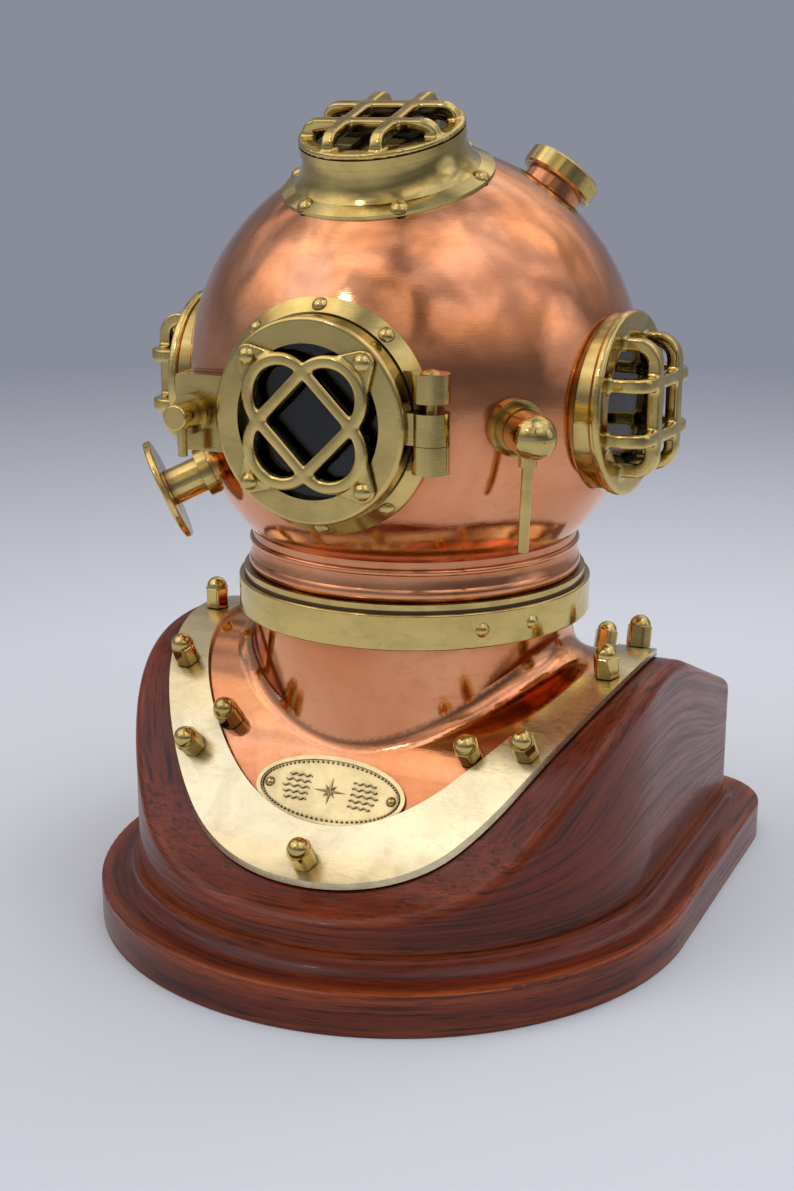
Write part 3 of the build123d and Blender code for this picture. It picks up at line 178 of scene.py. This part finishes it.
class GuardSizes(bpy.types.PropertyGroup):
    door_grain: bpy.props.FloatProperty(
        name="Door guard grain", description="Edge of the cells that the door's guard is cast in",
        subtype="DISTANCE", unit="LENGTH", min=0.0004, max=0.003, default=0.0008)
    cage_grain: bpy.props.FloatProperty(
        name="Cage grain", description="Edge of the cells that the window cages are cast in",
        subtype="DISTANCE", unit="LENGTH", min=0.0005, max=0.003, default=0.0010)
    top_rivet_gain: bpy.props.FloatProperty(
        name="Top rivets", description="Growth of the rivet heads round the top light",
        min=1.0, max=2.0, default=1.5)
    face_rivet_gain: bpy.props.FloatProperty(
        name="Face rivets", description="Growth of the rivet heads round the face opening",
        min=1.0, max=2.0, default=1.25)
    softness: bpy.props.IntProperty(
        name="Softness", description="How far the cast edges are rounded",
        min=0, max=30, default=9)


class PlateSizes(bpy.types.PropertyGroup):
    half_width: bpy.props.FloatProperty(
        name="Half width", description="Half the long way across the beaded line",
        subtype="DISTANCE", unit="LENGTH", default=0.0515)
    half_height: bpy.props.FloatProperty(
        name="Half height", description="Half the short way across the beaded line",
        subtype="DISTANCE", unit="LENGTH", default=0.0205)
    bead: bpy.props.FloatProperty(
        name="Bead", description="Radius of one bead of the border",
        subtype="DISTANCE", unit="LENGTH", default=0.00085)
    beads: bpy.props.IntProperty(
        name="Beads", description="Number of beads round the border", min=8, default=84)
    wave_length: bpy.props.FloatProperty(
        name="Wave length", description="Length of the longest row of waves beside the star",
        subtype="DISTANCE", unit="LENGTH", default=0.0200)
    wave_pitch: bpy.props.FloatProperty(
        name="Wave pitch", description="Distance from one row of waves to the next",
        subtype="DISTANCE", unit="LENGTH", default=0.0042)
    wave_beads: bpy.props.IntProperty(
        name="Wave beads", description="Beads in one row of waves", min=3, default=34)
    star: bpy.props.FloatProperty(
        name="Star", description="Reach of the star's long points",
        subtype="DISTANCE", unit="LENGTH", default=0.0125)
    relief: bpy.props.FloatProperty(
        name="Relief", description="How far the star stands out",
        subtype="DISTANCE", unit="LENGTH", default=0.0009)


class ViewSettings(bpy.types.PropertyGroup):
    place: bpy.props.FloatVectorProperty(
        name="Camera place", description="Where the camera stands",
        subtype="TRANSLATION", unit="LENGTH", size=3, default=(0.514816, -1.15648, 0.578184))
    turn: bpy.props.FloatProperty(
        name="Camera turn", description="Turn of the view about the vertical",
        subtype="ANGLE", unit="ROTATION", default=radians(24.5763))
    dip: bpy.props.FloatProperty(
        name="Camera dip", description="How far the view points down",
        subtype="ANGLE", unit="ROTATION", default=radians(15.5739))
    lens: bpy.props.FloatProperty(
        name="Lens", description="Focal length over the frame's height",
        subtype="DISTANCE_CAMERA", unit="CAMERA", default=53.95)


def colours():
    return bpy.context.scene.helmet_colours


# Node helpers

class Tree:
    """A short way to write node trees."""

    def __init__(self, tree):
        self.tree = tree

    def add(self, kind, sockets=None, **settings):
        node = self.tree.nodes.new(kind)
        for key, value in settings.items():
            setattr(node, key, value)
        for key, value in (sockets or {}).items():
            if isinstance(value, bpy.types.NodeSocket):
                self.tree.links.new(value, node.inputs[key])
            else:
                node.inputs[key].default_value = value
        return node

    def maths(self, operation, first, second=0.0, clamp=False):
        node = self.add("ShaderNodeMath", operation=operation, use_clamp=clamp)
        for index, value in enumerate((first, second)):
            if isinstance(value, bpy.types.NodeSocket):
                self.tree.links.new(value, node.inputs[index])
            else:
                node.inputs[index].default_value = value
        return node.outputs[0]

    def here(self):
        return self.add("ShaderNodeTexCoord").outputs["Object"]

    def places(self, scale):
        return self.add("ShaderNodeMapping", {
            "Vector": self.here(), "Scale": scale}).outputs[0]

    def noise(self, vector, scale, detail=4.0, roughness=0.5, distortion=0.0):
        return self.add("ShaderNodeTexNoise", {
            "Vector": vector, "Scale": scale, "Detail": detail,
            "Roughness": roughness, "Distortion": distortion}).outputs["Fac"]

    def spread(self, value, low, high, to_low=0.0, to_high=1.0, kind="LINEAR"):
        node = self.add("ShaderNodeMapRange", {
            "Value": value, "From Min": low, "From Max": high,
            "To Min": to_low, "To Max": to_high}, interpolation_type=kind)
        node.clamp = True
        return node.outputs[0]

    def mix(self, factor, first, second, blend="MIX"):
        node = self.add("ShaderNodeMix", data_type="RGBA", blend_type=blend)
        for index, value in ((0, factor), (6, first), (7, second)):
            if isinstance(value, bpy.types.NodeSocket):
                self.tree.links.new(value, node.inputs[index])
            else:
                node.inputs[index].default_value = value
        return node.outputs[2]

    def bump(self, height, strength, distance, below=None):
        sockets = {"Height": height, "Strength": strength, "Distance": distance}
        if below is not None:
            sockets["Normal"] = below
        return self.add("ShaderNodeBump", sockets).outputs[0]

    def corners(self, distance, inside=False):
        """1 in corners within the distance, or on outer edges if inside, 0 on open faces."""
        node = self.add(
            "ShaderNodeAmbientOcclusion", {"Distance": distance},
            samples=4, inside=inside, only_local=inside)
        return self.maths("SUBTRACT", 1.0, node.outputs["AO"], clamp=True)


def colour4(colour, gain=1.0):
    return tuple(min(c * gain, 1.0) for c in colour) + (1.0,)


def material(name):
    made = bpy.data.materials.new(name)
    made.use_nodes = True
    made.node_tree.nodes.clear()
    tree = Tree(made.node_tree)
    shader = tree.add("ShaderNodeBsdfPrincipled")
    out = tree.add("ShaderNodeOutputMaterial")
    made.node_tree.links.new(shader.outputs[0], out.inputs[0])
    return made, tree, shader


def link(tree, value, shader, socket):
    tree.tree.links.new(value, shader.inputs[socket])


def polished_metal(name, bright, deep, dark, rough, clouds, wave, corner_shade_gain, inside_shade=None):
    """Metal with clouds of a deeper tone, spin lines, smears, faint waves and painted shade in
    corners.

    An inside shade is the painted shade of the ball's inside.
    """
    made, tree, shader = material(name)
    here = tree.here()
    cloud = tree.noise(here, clouds, 5.0, 0.55, 1.1)
    smear = tree.noise(tree.places((1, 1, 2.4)), 38.0, 5.0, 0.6, 1.4)
    spots = tree.noise(here, 130.0, 5.0, 0.65)
    lines = tree.noise(tree.places((1, 1, 11)), 120.0, 3.0, 0.6)
    tone = tree.mix(tree.spread(cloud, 0.40, 0.66), colour4(bright), colour4(deep))
    tone = tree.mix(tree.spread(smear, 0.52, 0.74, 0.0, 0.45), tone, colour4(deep, 0.86))
    tone = tree.mix(tree.spread(spots, 0.62, 0.80, 0.0, 0.30), tone, colour4(dark))
    # Painted shade: the tone turns dark in corners that ambient occlusion finds, in patches of
    # the smear noise, and is rougher there
    near = tree.spread(tree.corners(METAL_CORNER_SHADE), 0.12, 0.75)
    corner_shade = tree.maths("MULTIPLY", near, tree.spread(smear, 0.30, 0.60, 0.45, 1.0))
    corner_shade = tree.maths("MULTIPLY", corner_shade, corner_shade_gain, clamp=True)
    tone = tree.mix(corner_shade, tone, colour4(dark))
    low, high = rough
    shine = tree.spread(tree.maths("ADD", lines, smear), 0.75, 1.3, low, high)
    shine = tree.maths("ADD", shine, tree.maths("MULTIPLY", corner_shade, 0.22), clamp=True)
    # Painted shade: nearer the ball's middle than its inner face, the copper is painted near
    # black and made rougher
    if inside_shade is not None:
        away = tree.add(
            "ShaderNodeVectorMath", {0: here, 1: BALL_MIDDLE}, operation="DISTANCE")
        shaded_inside = tree.spread(
            away.outputs["Value"], SHADED_INSIDE_RADIUS - SHADED_INSIDE_STEP, SHADED_INSIDE_RADIUS, 1.0, 0.0)
        tone = tree.mix(shaded_inside, tone, inside_shade)
        shine = tree.maths("ADD", shine, tree.maths("MULTIPLY", shaded_inside, 0.5), clamp=True)
    link(tree, tone, shader, "Base Color")
    link(tree, shine, shader, "Roughness")
    slow = tree.noise(here, 8.0, 2.0, 0.4)
    normal = tree.bump(slow, wave, 0.02)
    normal = tree.bump(tree.noise(here, 55.0, 2.0, 0.5), wave, 0.0012, normal)
    normal = tree.bump(lines, 0.05, 0.0006, normal)
    link(tree, normal, shader, "Normal")
    shader.inputs["Metallic"].default_value = 1.0
    return made


def along_outline(tree):
    """Places in the wood: out from the middle, along the outline, height by the saddle."""
    plan = tree.add("ShaderNodeSeparateXYZ", {"Vector": tree.here()}).outputs
    behind = tree.maths("SUBTRACT", plan["Y"], ROUND_MIDDLE)
    ahead = tree.maths("MINIMUM", behind, 0.0)
    straight = tree.maths("MAXIMUM", behind, 0.0)
    across = tree.maths("MULTIPLY", plan["X"], plan["X"])
    out = tree.maths("SQRT", tree.maths("ADD", across, tree.maths("MULTIPLY", ahead, ahead)))
    turn = tree.maths("ARCTAN2", plan["X"], tree.maths("MULTIPLY", ahead, -1.0))
    along = tree.maths("MULTIPLY", turn, ROUND_RADIUS)
    along = tree.maths("ADD", along, tree.maths(
        "MULTIPLY", tree.maths("SIGN", plan["X"]), straight))
    falls = [
        tree.spread(plan["Y"], *fall, kind="SMOOTHSTEP") for fall in (FRONT_FALL, BACK_FALL)]
    share = tree.spread(plan["Z"], *GRAIN_TURN)
    fall = tree.maths("MULTIPLY", tree.maths("ADD", *falls), share)
    return out, along, tree.maths("ADD", plan["Z"], fall)


def wood_finish(name):
    """Dark reddish wood: long grain lines, pores, rubbed edges, painted shade in corners and a
    satin varnish.
    """
    made, tree, shader = material(name)
    given = colours()
    out, along, up = along_outline(tree)

    def grain(stretch, scale, detail, roughness, twist):
        place = tree.add("ShaderNodeCombineXYZ", {
            "X": out, "Y": tree.maths("MULTIPLY", along, stretch), "Z": up}).outputs[0]
        return tree.noise(place, scale, detail, roughness, twist)

    wide = grain(0.12, 16.0, 4.0, 0.55, 0.6)
    thin = grain(0.035, 260.0, 4.0, 0.62, 0.25)
    long = grain(0.020, 120.0, 4.0, 0.6, 0.4)
    pore = grain(0.045, 900.0, 2.0, 0.5, 0.0)
    base = tree.mix(
        tree.spread(wide, 0.34, 0.64), colour4(given.wood, 1.15), colour4(given.wood, 0.62))
    edge = tree.spread(tree.corners(WOOD_EDGE, inside=True), 0.05, 0.32)
    edge = tree.maths("MULTIPLY", edge, tree.spread(wide, 0.32, 0.6, 1.0, 0.5))
    base = tree.mix(edge, base, colour4(given.wood_edge))
    glow = tree.spread(long, 0.56, 0.72, 0.0, 0.32)
    base = tree.mix(glow, base, colour4(given.wood_edge, 0.8))
    base = tree.mix(tree.spread(long, 0.50, 0.34, 0.0, 0.45), base, colour4(given.wood_dark))
    base = tree.mix(tree.spread(thin, 0.52, 0.66, 0.0, 0.80), base, colour4(given.wood_dark))
    base = tree.mix(tree.spread(pore, 0.55, 0.68, 0.0, 0.65), base, colour4(given.wood_dark, 0.7))
    # Painted shade: the wood turns dark in corners that ambient occlusion finds
    near = tree.spread(tree.corners(WOOD_CORNER_SHADE), 0.15, 0.8, 0.0, 0.8)
    base = tree.mix(near, base, colour4(given.wood_dark))
    link(tree, base, shader, "Base Color")
    link(tree, tree.spread(thin, 0.35, 0.7, 0.26, 0.46), shader, "Roughness")
    normal = tree.bump(thin, 0.20, 0.0010)
    normal = tree.bump(pore, 0.16, 0.0006, normal)
    link(tree, normal, shader, "Normal")
    shader.inputs["Specular IOR Level"].default_value = 0.20
    shader.inputs["Coat Weight"].default_value = 0.30
    shader.inputs["Coat Roughness"].default_value = 0.10
    return made


def glass_finish(name):
    made, tree, shader = material(name)
    smear = tree.noise(tree.here(), 30.0, 3.0)
    link(tree, tree.mix(smear, *GLASS_TONES), shader, "Base Color")
    link(tree, tree.spread(smear, 0.4, 0.7, 0.01, 0.06), shader, "Roughness")
    link(tree, tree.bump(tree.noise(tree.here(), 25.0, 2.0), 0.06, 0.004), shader, "Normal")
    shader.inputs["Transmission Weight"].default_value = 1.0
    shader.inputs["IOR"].default_value = 1.5
    return made


def leather_finish(name):
    made, tree, shader = material(name)
    here = tree.here()
    grain = tree.add("ShaderNodeTexVoronoi", {"Vector": here, "Scale": 700.0}).outputs[0]
    tone = tree.noise(here, 60.0, 4.0)
    link(tree, tree.mix(tone, *LEATHER_TONES), shader, "Base Color")
    shader.inputs["Roughness"].default_value = 0.6
    link(tree, tree.bump(grain, 0.3, 0.0005), shader, "Normal")
    return made


def felt_finish(name):
    made, tree, shader = material(name)
    fibre = tree.noise(tree.here(), 900.0, 3.0, 0.7, 1.5)
    link(tree, tree.mix(fibre, *FELT_TONES), shader, "Base Color")
    shader.inputs["Roughness"].default_value = 0.95
    shader.inputs["Sheen Weight"].default_value = 0.5
    link(tree, tree.bump(fibre, 0.5, 0.0006), shader, "Normal")
    return made


def make_finishes():
    given = colours()
    pale = tuple(0.5 * a + 0.5 * b for a, b in zip(given.brass, given.strap))
    finishes.update({
        "copper": polished_metal(
            "polished copper", given.copper, given.copper_deep, given.copper_dark,
            (0.06, 0.15), clouds=6.0, wave=0.10, corner_shade_gain=0.75, inside_shade=INSIDE_SHADE_TONE),
        "brass": polished_metal(
            "polished brass", given.brass, [c * 0.72 for c in given.brass], given.brass_dark,
            (0.06, 0.17), clouds=14.0, wave=0.12, corner_shade_gain=1.0),
        "cast": polished_metal(
            "cast brass", given.brass, [c * 0.78 for c in given.brass], given.brass_dark,
            (0.07, 0.18), clouds=22.0, wave=0.28, corner_shade_gain=1.2),
        "strap": polished_metal(
            "strap brass", given.strap, [c * 0.80 for c in given.strap], given.brass_dark,
            (0.20, 0.34), clouds=18.0, wave=0.06, corner_shade_gain=0.8),
        "plate": polished_metal(
            "nameplate brass", pale, [c * 0.82 for c in pale], given.brass_dark,
            (0.20, 0.34), clouds=40.0, wave=0.04, corner_shade_gain=1.2),
        "wood": wood_finish("varnished mahogany"),
        "glass": glass_finish("window glass"),
        "leather": leather_finish("gasket leather"),
        "felt": felt_finish("base felt"),
    })


def repaint(node, finish):
    mesh = nodes[node].data
    mesh.materials.clear()
    mesh.materials.append(finish)


def settle(form, name, finish, body):
    """A finished piece from a bmesh: smooth shaded, painted and riding on its body."""
    mesh = bpy.data.meshes.new(name)
    form.to_mesh(mesh)
    form.free()
    mesh.shade_smooth()
    mesh.materials.append(finishes[finish])
    piece = bpy.data.objects.new(name, mesh)
    bpy.context.scene.collection.objects.link(piece)
    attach(piece, body)
    return piece


def cast_over(node, body, grain, softness):
    """A soft-edged casting in the place of a frame node, from a merged copy of its mesh."""
    copy = bmesh.new()
    copy.from_mesh(nodes[node].data)
    bmesh.ops.remove_doubles(copy, verts=copy.verts[:], dist=MERGE_DISTANCE)
    mesh = bpy.data.meshes.new(node + "_blank")
    copy.to_mesh(mesh)
    copy.free()
    blank = bpy.data.objects.new(node + "_blank", mesh)
    bpy.context.scene.collection.objects.link(blank)
    cells = blank.modifiers.new("cells", "REMESH")
    cells.mode = "VOXEL"
    cells.voxel_size = grain
    bpy.context.view_layer.update()
    shaped = bpy.data.meshes.new_from_object(
        blank.evaluated_get(bpy.context.evaluated_depsgraph_get()))
    form = bmesh.new()
    form.from_mesh(shaped)
    bpy.data.objects.remove(blank)
    for _ in range(softness):
        bmesh.ops.smooth_vert(
            form, verts=form.verts[:], factor=0.5,
            use_axis_x=True, use_axis_y=True, use_axis_z=True)
    piece = settle(form, node + "_casting", "cast", body)
    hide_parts(node)


def swell(node, body, gain):
    """Fuller rivets in the place of a frame node: each solid grows about its own middle."""
    form = bmesh.new()
    form.from_mesh(nodes[node].data)
    bmesh.ops.remove_doubles(form, verts=form.verts[:], dist=MERGE_DISTANCE)
    left = set(form.verts)
    for start in form.verts[:]:
        if start not in left:
            continue
        left.discard(start)
        # Walked in mesh order, so that each run adds up the same middle
        island = [start]
        for corner in island:
            for edge in corner.link_edges:
                other = edge.other_vert(corner)
                if other in left:
                    left.discard(other)
                    island.append(other)
        middle = sum((corner.co for corner in island), Vector()) / len(island)
        bmesh.ops.scale(
            form, verts=island, vec=(gain, gain, gain), space=Matrix.Translation(-middle))
    piece = settle(form, node + "_domes", "brass", body)
    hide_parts(node)


class HELMET_OT_finishes(bpy.types.Operator):
    """Give every piece of the frame its finish"""
    bl_idname = "helmet.finishes"
    bl_label = "Finishes"

    def execute(self, context):
        make_finishes()
        slots = {row["node"]: row["material_slot"] for row in frame["record"]["subparts"]}
        special = {"brail_strap": "strap", "nameplate": "plate"}
        for node in nodes:
            repaint(node, finishes[special.get(node, slots[node])])
        return {"FINISHED"}


class HELMET_OT_guards(bpy.types.Operator):
    """Cast the soft-edged guards of the door and of the three windows"""
    bl_idname = "helmet.guards"
    bl_label = "Window guards"

    def execute(self, context):
        sizes = context.scene.helmet_guards
        cast_over("door_guard", "door", sizes.door_grain, sizes.softness)
        for node in ("left_light_guard", "right_light_guard", "top_light_guard"):
            cast_over(node, "bonnet", sizes.cage_grain, sizes.softness)
        return {"FINISHED"}


class HELMET_OT_rivets(bpy.types.Operator):
    """Set the fuller rivet heads of the top light and of the face flange"""
    bl_idname = "helmet.rivets"
    bl_label = "Rivets"

    def execute(self, context):
        sizes = context.scene.helmet_guards
        swell("top_light_rivets", "bonnet", sizes.top_rivet_gain)
        swell("face_flange_rivets", "bonnet", sizes.face_rivet_gain)
        return {"FINISHED"}


def plate_frame():
    """The nameplate's middle, its outward direction and its upward direction in the plate."""
    mesh = nodes["nameplate"].data
    out = Vector((0.0, 0.0, 0.0))
    for face in mesh.polygons:
        if face.normal.z > PLATE_TILT and face.normal.y < 0.0:
            out += face.normal * face.area
    out.normalize()
    across = Vector((1.0, 0.0, 0.0))
    up = out.cross(across).normalized()
    low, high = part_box("nameplate")
    middle = (low + high) / 2
    floor = max(
        (corner.co - middle).dot(out) for corner in mesh.vertices
        if abs((corner.co - middle).dot(up)) < PLATE_FIELD)
    return middle + out * floor, across, up, out


class HELMET_OT_nameplate(bpy.types.Operator):
    """Model the beaded border, the waves and the star that stand out of the plate"""
    bl_idname = "helmet.nameplate"
    bl_label = "Nameplate ornament"

    def execute(self, context):
        sizes = context.scene.helmet_plate
        middle, across, up, out = plate_frame()
        turn = Matrix((across, up, out)).transposed().to_4x4()
        place = Matrix.Translation(middle) @ turn

        beads = bmesh.new()
        for index in range(sizes.beads):
            angle = 2 * pi * index / sizes.beads
            spot = Matrix.Translation((
                sizes.half_width * cos(angle), sizes.half_height * sin(angle), 0.0))
            bmesh.ops.create_icosphere(
                beads, subdivisions=2, radius=sizes.bead, matrix=place @ spot)
        settle(beads, "nameplate_beads", "plate", "stand")

        waves = bmesh.new()
        for side in (1, -1):
            for row in range(-WAVE_ROWS, WAVE_ROWS + 1):
                reach = sizes.wave_length * (1 - 0.09 * abs(row))
                for index in range(sizes.wave_beads):
                    share = index / (sizes.wave_beads - 1)
                    along = sizes.star + WAVE_GAP + reach * share
                    rise = row * sizes.wave_pitch
                    rise += WAVE_HEIGHT * sin(2 * WAVE_TURNS * pi * share)
                    spot = Matrix.Translation((side * along, rise, 0.0))
                    bmesh.ops.create_icosphere(
                        waves, subdivisions=1, radius=sizes.bead * 0.62, matrix=place @ spot)
        settle(waves, "nameplate_waves", "plate", "stand")

        star = bmesh.new()
        side = sizes.star * 0.17
        half_step = pi / STAR_POINTS
        for index in range(STAR_POINTS):
            reach = sizes.star * (1.0, 0.5, 0.82, 0.5)[index % 4]
            angle = 2 * half_step * index
            left, right = angle - half_step, angle + half_step
            corners = [
                star.verts.new(place @ Vector(spot)) for spot in (
                    (0.0, 0.0, sizes.relief),
                    (side * cos(left), side * sin(left), 0.0),
                    (reach * cos(angle), reach * sin(angle), 0.0),
                    (side * cos(right), side * sin(right), 0.0))]
            star.faces.new((corners[0], corners[1], corners[2]))
            star.faces.new((corners[0], corners[2], corners[3]))
            star.faces.new((corners[0], corners[3], corners[1]))
            star.faces.new((corners[1], corners[3], corners[2]))
        bmesh.ops.recalc_face_normals(star, faces=star.faces[:])
        piece = settle(star, "nameplate_star", "plate", "stand")
        piece.data.shade_flat()
        return {"FINISHED"}


def studio_light(scene):
    """A soft room: pale towards the floor, darker at eye level, bright soft patches above."""
    world = bpy.data.worlds.new("studio")
    scene.world = world
    world.use_nodes = True
    world.node_tree.nodes.clear()
    tree = Tree(world.node_tree)
    sky = tree.add("ShaderNodeTexCoord").outputs["Generated"]
    height = tree.add("ShaderNodeSeparateXYZ", {"Vector": sky}).outputs
    ramp = tree.add("ShaderNodeValToRGB", {"Fac": tree.spread(height["Z"], -0.2, 1.0)})
    stops = ramp.color_ramp.elements
    stops[0].position, stops[0].color = 0.0, ROOM_BOTTOM
    stops[1].position, stops[1].color = 1.0, ROOM_TOP
    for place, colour in ROOM_BETWEEN:
        stop = stops.new(place)
        stop.color = colour
    cloud = tree.noise(sky, 2.6, 5.0, 0.55, 0.8)
    above = tree.spread(height["Z"], 0.20, 0.48)
    lift = tree.spread(cloud, 0.40, 0.60, 0.40, 1.50)
    lift = tree.add("ShaderNodeMix", {0: above, 2: 1.0, 3: lift}, data_type="FLOAT").outputs[0]

    def toward(way):
        return tree.add(
            "ShaderNodeVectorMath", {0: sky, 1: Vector(way).normalized()},
            operation="DOT_PRODUCT").outputs["Value"]

    for way, edge, heart, gain in ROOM_PATCHES:
        near = tree.maths("ADD", toward(way), tree.maths("MULTIPLY", cloud, PATCH_WAVER))
        mean = PATCH_WAVER / 2
        patch = tree.spread(near, edge + mean, heart + mean, 0.0, gain)
        lift = tree.maths("ADD", lift, patch)
    low = tree.spread(height["Z"], 0.38, 0.08)
    dim = tree.spread(toward(DIM_SIDE), 0.60, 0.95, 0.0, DIM_SHARE)
    dim = tree.maths("MULTIPLY", dim, low)
    lift = tree.maths("MULTIPLY", lift, tree.maths("SUBTRACT", 1.0, dim))
    front = tree.maths(
        "MULTIPLY", tree.spread(height["Y"], 0.2, -0.6), tree.spread(height["Z"], 0.1, -0.05))
    lift = tree.maths("MULTIPLY", lift, tree.spread(front, 0.0, 1.0, 1.0, 1.5))
    warm = tree.maths("MULTIPLY", tree.spread(tree.noise(sky, 1.9, 2.0), 0.42, 0.56), above)
    tone = tree.mix(warm, COOL_TONE, WARM_TONE)
    tone = tree.mix(1.0, ramp.outputs[0], tone, "MULTIPLY")
    shade = tree.add("ShaderNodeBackground", {"Color": tone, "Strength": lift})
    out = tree.add("ShaderNodeOutputWorld")
    world.node_tree.links.new(shade.outputs[0], out.inputs[0])


class HELMET_OT_stage(bpy.types.Operator):
    """Set up the floor, the light and the camera"""
    bl_idname = "helmet.stage"
    bl_label = "Floor, light and camera"

    def execute(self, context):
        scene = context.scene
        view = scene.helmet_view
        given = colours()
        scene.view_settings.view_transform = "Standard"

        lens = bpy.data.cameras.new("Camera")
        lens.sensor_fit = "VERTICAL"
        lens.sensor_height = 36.0
        lens.lens = view.lens
        lens.dof.use_dof = False
        camera = bpy.data.objects.new("Camera", lens)
        scene.collection.objects.link(camera)
        camera.matrix_world = (
            Matrix.Translation(view.place)
            @ Matrix.Rotation(view.turn, 4, "Z")
            @ Matrix.Rotation(pi / 2 - view.dip, 4, "X"))
        scene.camera = camera

        form = bmesh.new()
        bmesh.ops.create_circle(form, cap_ends=True, segments=96, radius=FLOOR_RADIUS)
        mesh = bpy.data.meshes.new("floor")
        form.to_mesh(mesh)
        form.free()
        floor = bpy.data.objects.new("floor", mesh)
        scene.collection.objects.link(floor)
        made, tree, shader = material("pale floor")
        shader.inputs["Base Color"].default_value = colour4(given.floor)
        shader.inputs["Roughness"].default_value = 0.8
        shader.inputs["Specular IOR Level"].default_value = 0.2
        away = tree.add(
            "ShaderNodeVectorMath", {0: tree.here()}, operation="LENGTH").outputs["Value"]
        link(tree, tree.spread(away, *FLOOR_FADE, 1.0, 0.0), shader, "Alpha")
        mesh.materials.append(made)

        studio_light(scene)

        for name, place, size, power in LAMPS:
            lamp = bpy.data.lights.new(name, "AREA")
            lamp.shape = "ELLIPSE" if name == "glint" else "RECTANGLE"
            lamp.size, lamp.size_y = size
            lamp.energy = power
            held = bpy.data.objects.new(name, lamp)
            scene.collection.objects.link(held)
            held.location = place
            aim = Vector(LAMP_AIM) - Vector(place)
            held.rotation_euler = aim.to_track_quat("-Z", "Y").to_euler()
            held.visible_glossy = name == "glint"
        return {"FINISHED"}


steps = (
    HELMET_OT_finishes, HELMET_OT_guards, HELMET_OT_rivets, HELMET_OT_nameplate, HELMET_OT_stage)


class HELMET_PT_panel(bpy.types.Panel):
    """The pieces of the helmet and its stand"""
    bl_label = "Diving helmet"
    bl_idname = "HELMET_PT_panel"
    bl_space_type = "VIEW_3D"
    bl_region_type = "UI"
    bl_category = "Helmet"

    def draw(self, context):
        for step in steps:
            self.layout.operator(step.bl_idname)


classes = (FinishColours, GuardSizes, PlateSizes, ViewSettings) + steps + (HELMET_PT_panel,)


def register():
    for kind in classes:
        bpy.utils.register_class(kind)
    bpy.types.Scene.helmet_colours = bpy.props.PointerProperty(type=FinishColours)
    bpy.types.Scene.helmet_guards = bpy.props.PointerProperty(type=GuardSizes)
    bpy.types.Scene.helmet_plate = bpy.props.PointerProperty(type=PlateSizes)
    bpy.types.Scene.helmet_view = bpy.props.PointerProperty(type=ViewSettings)


def unregister():
    del bpy.types.Scene.helmet_view
    del bpy.types.Scene.helmet_plate
    del bpy.types.Scene.helmet_guards
    del bpy.types.Scene.helmet_colours
    for kind in reversed(classes):
        bpy.utils.unregister_class(kind)


def main():
    register()
    bpy.ops.helmet.finishes()
    bpy.ops.helmet.guards()
    bpy.ops.helmet.rivets()
    bpy.ops.helmet.nameplate()
    bpy.ops.helmet.stage()


if __name__ == "__main__":
    main()
